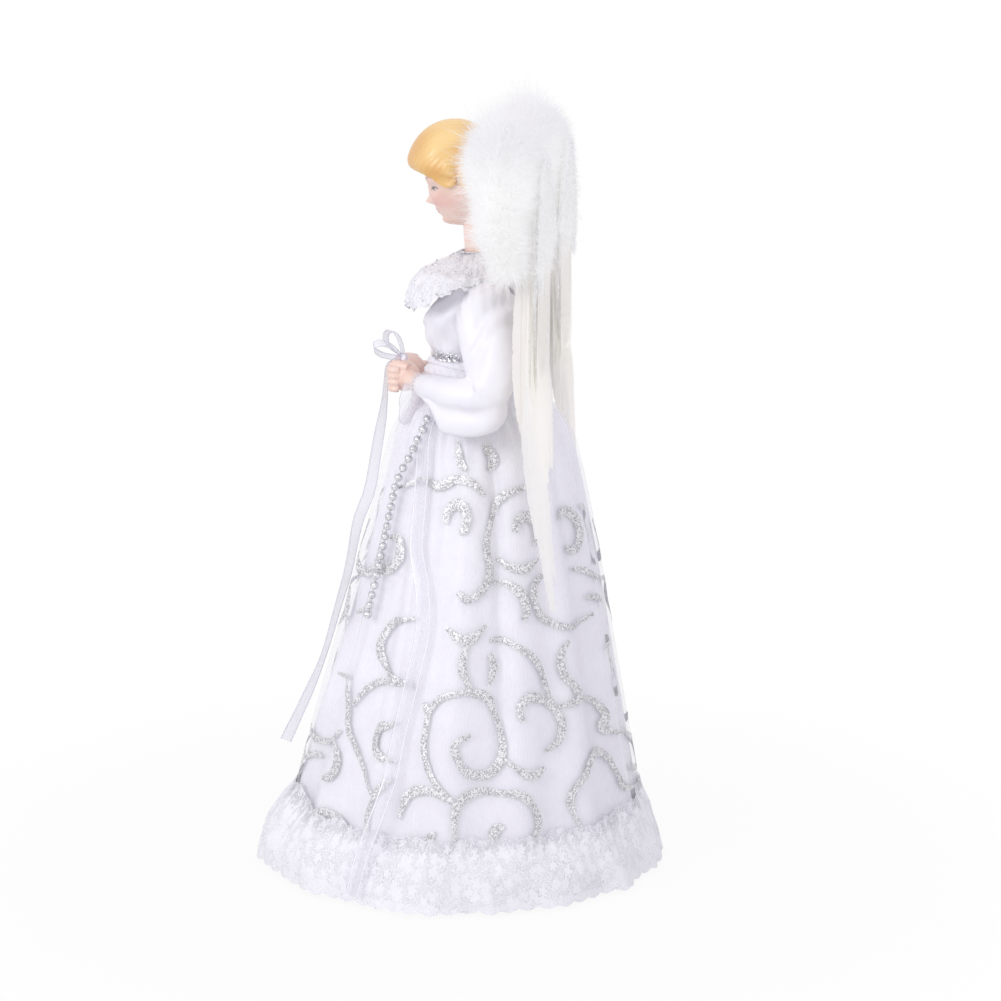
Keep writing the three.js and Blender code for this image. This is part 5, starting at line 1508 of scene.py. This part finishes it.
def down_form(side, seed, count, inner, outer, width, places):
    """Strands of down: each leaves the boa's middle, runs out past its surface by a random length, and
    curls towards its tip. Away from the wing's root some wrap over the back of the card."""
    rng = np.random.default_rng(seed)
    t = rng.uniform(0, BOA_END, count)
    centre, across, tangent, wide, depth = boa_frame(t)
    angle = rng.uniform(0, 2 * np.pi, count)
    behind = np.maximum(0, np.sin(angle)) * ease(t, 0.15, 0.35) * ease(t, 0.8, 0.68)
    deep = depth + BACK_WRAP * behind
    rim = across * (wide * np.cos(angle))[:, None] + vec(0, deep * np.sin(angle), 0)
    past_end = (0.5 * np.clip(t - BOA_END + 0.07, 0, 1) - np.clip(0.07 - t, 0, 1)) / 0.07
    rim = rim + tangent * (past_end * 7 * rng.uniform(0, 1, count))[:, None]
    root = centre + rim * inner
    length = rng.uniform(0.75, 1, count) * lerp(outer, 0.98, behind)
    tip = centre + rim * length[:, None] + tangent * rng.normal(0, 2.4, count)[:, None]
    stray = rng.exponential(1.9, count) * (1 - 0.8 * behind)
    tip = tip + rng.normal(0, 1.1, (count, 3)) + unit(rim) * stray[:, None]
    beyond = np.maximum(0, tip[:, 0] - DOWN_EDGE)
    tip[:, 0] -= beyond - DOWN_STRAY * np.tanh(beyond / DOWN_STRAY)
    bend = rng.normal(0, 1.5, (count, 3)) + [0, 0, -0.6]
    widths = width * between(STRAND_WIDTH, np.linspace(0, 1, places))
    return strands_form(side, rng, root, tip, bend, widths)


def short_down(side, rng, root, tip, lift):
    """Short strands from root to tip, arched away from the card."""
    count = len(root)
    arch = vec(rng.normal(0, 0.5, count), 0.5 * lift, rng.normal(0, 0.5, count))
    return strands_form(side, rng, root, tip, arch, SHORT_STRAND_WIDTH)


def back_down_form(side, seed, count):
    """Short down over the back of the card, combed down and shorter towards its foot."""
    rng = np.random.default_rng(seed)
    edge = spline(np.vstack([CARD_EDGE, CARD_EDGE[:1]]), EDGE_PLACES)
    outline = edge[rng.integers(0, EDGE_PLACES, count)]
    share = rng.uniform(0, 1, count)[:, None] ** 0.45
    place = CARD_MIDDLE + (outline - CARD_MIDDLE) * share * 0.98
    high = ease(place[:, 1], 14, 36)
    root = vec(HINGE_X + place[:, 0], CARD_BACK - 0.4, BUST_LINE + place[:, 1])
    away = unit(place - CARD_MIDDLE)
    length = rng.uniform(3, 6, count) * lerp(0.3, 1, high)
    lift = rng.uniform(0.4, 1, count) * lerp(0.1, 2.4, high)
    comb = vec(0.2 * away[:, 0], 0 * length, 0.2 * away[:, 1] - 0.5) + rng.normal(0, 0.3, (count, 3))
    return short_down(side, rng, root, root + comb * length[:, None] + vec(0, lift, 0), lift)


def wire_down_form(side, seed, count):
    """Down that hides the wire along the back of the wing, apart from its root, where the wings meet when
    they are folded."""
    rng = np.random.default_rng(seed)
    wire = spline([WIRE_START, *(WIRE_SHARE * np.array(ARCH[1:]))], WIRE_PLACES)
    place = wire[rng.integers(WIRE_ROOT, WIRE_PLACES, count)]
    root = vec(HINGE_X + place[:, 0], CARD_BACK + 0.6, BUST_LINE + place[:, 1])
    root = root + rng.normal(0, 0.4, (count, 3))
    lift = rng.uniform(0.5, 1.6, count)
    comb = rng.normal(0, 1, (count, 3)) * [1.6, 0.3, 1.6]
    return short_down(side, rng, root, root + comb + vec(0, lift, 0), lift)


def feather_line(base, tip, layer, t):
    """A feather's shaft: from the wing to the tip with a slight bow, hanging back below the card."""
    z = lerp(base[1], tip[1], t)
    x = lerp(base[0], tip[0], t) + 2.5 * np.sin(np.pi * t)
    droop = np.clip((CARD_FOOT - z) / (CARD_FOOT - LONG_TIP), 0, 1) ** 1.5
    y = BOA_BACK + CLEARANCE + FEATHER_WALL / 2 + layer * FEATHER_PITCH + FEATHER_DROOP * droop
    return x, y, z


def feather_form(side, base, tip, width, layer, seed, turned=0):
    """A vane of barbs on both sides of a shaft: the edge is ragged, with splits where barbs part. Below
    the card each vane turns a little, so that the feathers overlap like shingles; turned is the least that
    it turns all along, in degrees."""
    rng = np.random.default_rng(seed)
    rows, columns = GRIDS["feather"]
    t = np.linspace(0, 1, rows)
    x, y, z = feather_line(base, tip, layer, t)
    y = y - (1.8 * ease(z, 275, 250) if layer == 0 else 0)
    half = width / 2 * (0.12 + 0.88 * np.sin(np.pi * (0.1 + 0.86 * t)) ** 0.7)
    s = np.linspace(-1, 1, columns)
    ragged = 1 + 0.03 * rng.standard_normal((rows, 2))
    for edge in (0, 1):
        for split in rng.uniform(0.4, 0.97, 3):
            ragged[:, edge] *= 1 - rng.uniform(0.08, 0.22) * bell(t, split, 0.008)
    spread = np.where(s[None, :] < 0, ragged[:, :1], ragged[:, 1:]) * s * half[:, None]
    turn = (np.maximum(SHINGLE * ease(z, CARD_FOOT + 8, CARD_FOOT - 14), math.radians(turned)))[:, None]
    sweep = -0.9 * np.abs(s) ** 1.3 * half[:, None]
    cup = 0.2 * (1 - s ** 2) + 0.03 * rng.standard_normal((rows, 1))
    points = vec(x[:, None] + spread * np.cos(turn), y[:, None] - cup - spread * np.sin(turn),
                 z[:, None] + sweep)
    length = abs(base[1] - tip[1]) / 10
    uv = vec((s[None, :] + 1) / 2, t[:, None] * length)
    form = Form().grid(mirrored(points, side), uv=uv, outward=False)
    return form.tube(mirrored(vec(x, y - 0.2, z), side), lerp(0.3, 0.1, t), 6)


def tip_rise(t):
    """Tips fall to the lowest one and rise again beyond it."""
    inner = np.maximum(0, LOWEST - t) / LOWEST
    outer = np.maximum(0, t - LOWEST) / (1 - LOWEST)
    return 75 * inner ** 1.4 + 33 * outer ** 1.4


def feather_row(count):
    """The number of each feather in a row, how far along the row it is and how high the row bows there."""
    for i in range(count):
        t = i / (count - 1)
        yield i, t, math.sin(math.pi * t)


for name, side in SIDES.items():
    wing = f"{name}_wing"
    piece(f"{name}_marabou", boa_core_form(side), wing, FLUFF)
    for layer, strands in enumerate(DOWN_LAYERS):
        seed = 100 * (side + 2) + layer
        piece(f"{name}_down_{layer + 1}", down_form(side, seed, *strands), wing, FLUFF)
    back_down = back_down_form(side, BACK_SEED + side, BACK_STRANDS)
    piece(f"{name}_back_down", back_down, wing, FLUFF)
    wire_down = wire_down_form(side, WIRE_SEED + side, WIRE_STRANDS)
    piece(f"{name}_wire_down", wire_down, wing, FLUFF)
    for i, t, bow in feather_row(LONG_FEATHERS):
        base = (HINGE_X + 13 + 43 * t, BUST_LINE + 18 + 8 * bow)
        tip = (HINGE_X + 18 + 46 * t, LONG_TIP + tip_rise(t))
        form = feather_form(side, base, tip, FEATHER_WIDTH, 1 + i % 2, LONG_SEED + i)
        piece(f"{name}_long_feather_{i + 1}", form, wing, FEATHER)
    for i, t, bow in feather_row(SHORT_FEATHERS):
        base = (HINGE_X + 15 + 38 * t, BUST_LINE + 32 + 6 * bow)
        tip = (HINGE_X + 20 + 38 * t, SHORT_TIP + 0.4 * tip_rise(t))
        form = feather_form(side, base, tip, FEATHER_WIDTH - t ** 3 * 2.6, 0, SHORT_SEED + i, 26 * i)
        piece(f"{name}_short_feather_{i + 1}", form, wing, CREAM_FEATHER)
    for i, t, bow in feather_row(COVER_FEATHERS):
        base = (HINGE_X + 14 + 34 * t, BUST_LINE + 32 + 8 * bow)
        tip = (HINGE_X + 17 + 34 * t, CARD_FOOT - 30 + 10 * math.cos(2 * i))
        form = feather_form(side, base, tip, FEATHER_WIDTH, COVER_LAYER, COVER_SEED + i)
        piece(f"{name}_cover_feather_{i + 1}", form, wing, FEATHER)


# Stage: floor, world, lamps and camera

def add_floor():
    """A round floor under the figure."""
    radius = np.array([[1.0], [FLOOR_RADIUS]])
    turn = turns(96)[None, :]
    form = Form().grid(vec(radius * np.cos(turn), radius * np.sin(turn), 0), closed=True, outward=False)
    floor = bpy.data.objects.new("floor", form.mesh("floor"))
    bpy.context.collection.objects.link(floor)
    floor.data.materials.append(make_floor().material)


def add_world(strength, tint):
    """Even white light, and plain white where the camera sees past the floor."""
    world = bpy.data.worlds.new("studio")
    bpy.context.scene.world = world
    world.use_nodes = True
    tree = world.node_tree
    back = tree.nodes["Background"]
    path = tree.nodes.new("ShaderNodeLightPath")
    colour = tree.nodes.new("ShaderNodeMix")
    colour.data_type = "RGBA"
    colour.inputs[6].default_value = (*tint, 1)
    colour.inputs[7].default_value = (1, 1, 1, 1)
    tree.links.new(path.outputs["Is Camera Ray"], colour.inputs[0])
    tree.links.new(colour.outputs[2], back.inputs["Color"])
    level = tree.nodes.new("ShaderNodeMapRange")
    level.inputs["To Min"].default_value = strength
    level.inputs["To Max"].default_value = 1.0
    tree.links.new(path.outputs["Is Camera Ray"], level.inputs["Value"])
    tree.links.new(level.outputs[0], back.inputs["Strength"])


def add_lamp(name, place, target, size, power):
    """A square lamp with a narrow beam, aimed at the figure."""
    lamp = bpy.data.lights.new(name, "AREA")
    lamp.size = size
    lamp.energy = power
    lamp.spread = LAMP_SPREAD
    obj = bpy.data.objects.new(name, lamp)
    bpy.context.collection.objects.link(obj)
    obj.location = place
    aim(obj, target)


def aim(obj, target):
    """Turns a lamp or a camera, which look along their own -Z, to a place."""
    way = Vector(target) - Vector(obj.location)
    obj.rotation_euler = way.to_track_quat("-Z", "Y").to_euler()


WORLD_STRENGTH, WORLD_TINT = 0.9, (0.955, 0.94, 1.0)
LAMP_SPREAD = math.radians(40)

# Each lamp's place, what it is aimed at, its size and its power
LAMPS = {
    "key": ((1.05, -0.75, 0.75), (0, 0, 0.12), 0.5, 0.31),
    "fill": ((1.4, 0.4, 0.6), (0, 0, 0.1), 0.6, 0.08),
}
VIEW_AZIMUTH = math.radians(98)
VIEW_DISTANCE, VIEW_HEIGHT = 1.1, 0.39
VIEW_ANGLE = math.radians(20.27)
VIEW_TARGET_HEIGHT, VIEW_TARGET_SIDE = 0.1471, 0.0140


def add_camera():
    """The photograph's view: from the figure's left, a little behind it and above."""
    data = bpy.data.cameras.new("camera")
    data.sensor_width = 36
    data.angle = VIEW_ANGLE
    camera = bpy.data.objects.new("camera", data)
    bpy.context.collection.objects.link(camera)
    back = Vector((math.sin(VIEW_AZIMUTH), -math.cos(VIEW_AZIMUTH), 0))
    right = Vector((math.cos(VIEW_AZIMUTH), math.sin(VIEW_AZIMUTH), 0))
    camera.location = back * VIEW_DISTANCE + Vector((0, 0, VIEW_HEIGHT))
    aim(camera, right * VIEW_TARGET_SIDE + Vector((0, 0, VIEW_TARGET_HEIGHT)))
    bpy.context.scene.camera = camera


add_floor()
add_world(WORLD_STRENGTH, WORLD_TINT)
for name, settings in LAMPS.items():
    add_lamp(name, *settings)
add_camera()
bpy.context.scene.view_settings.view_transform = "Standard"
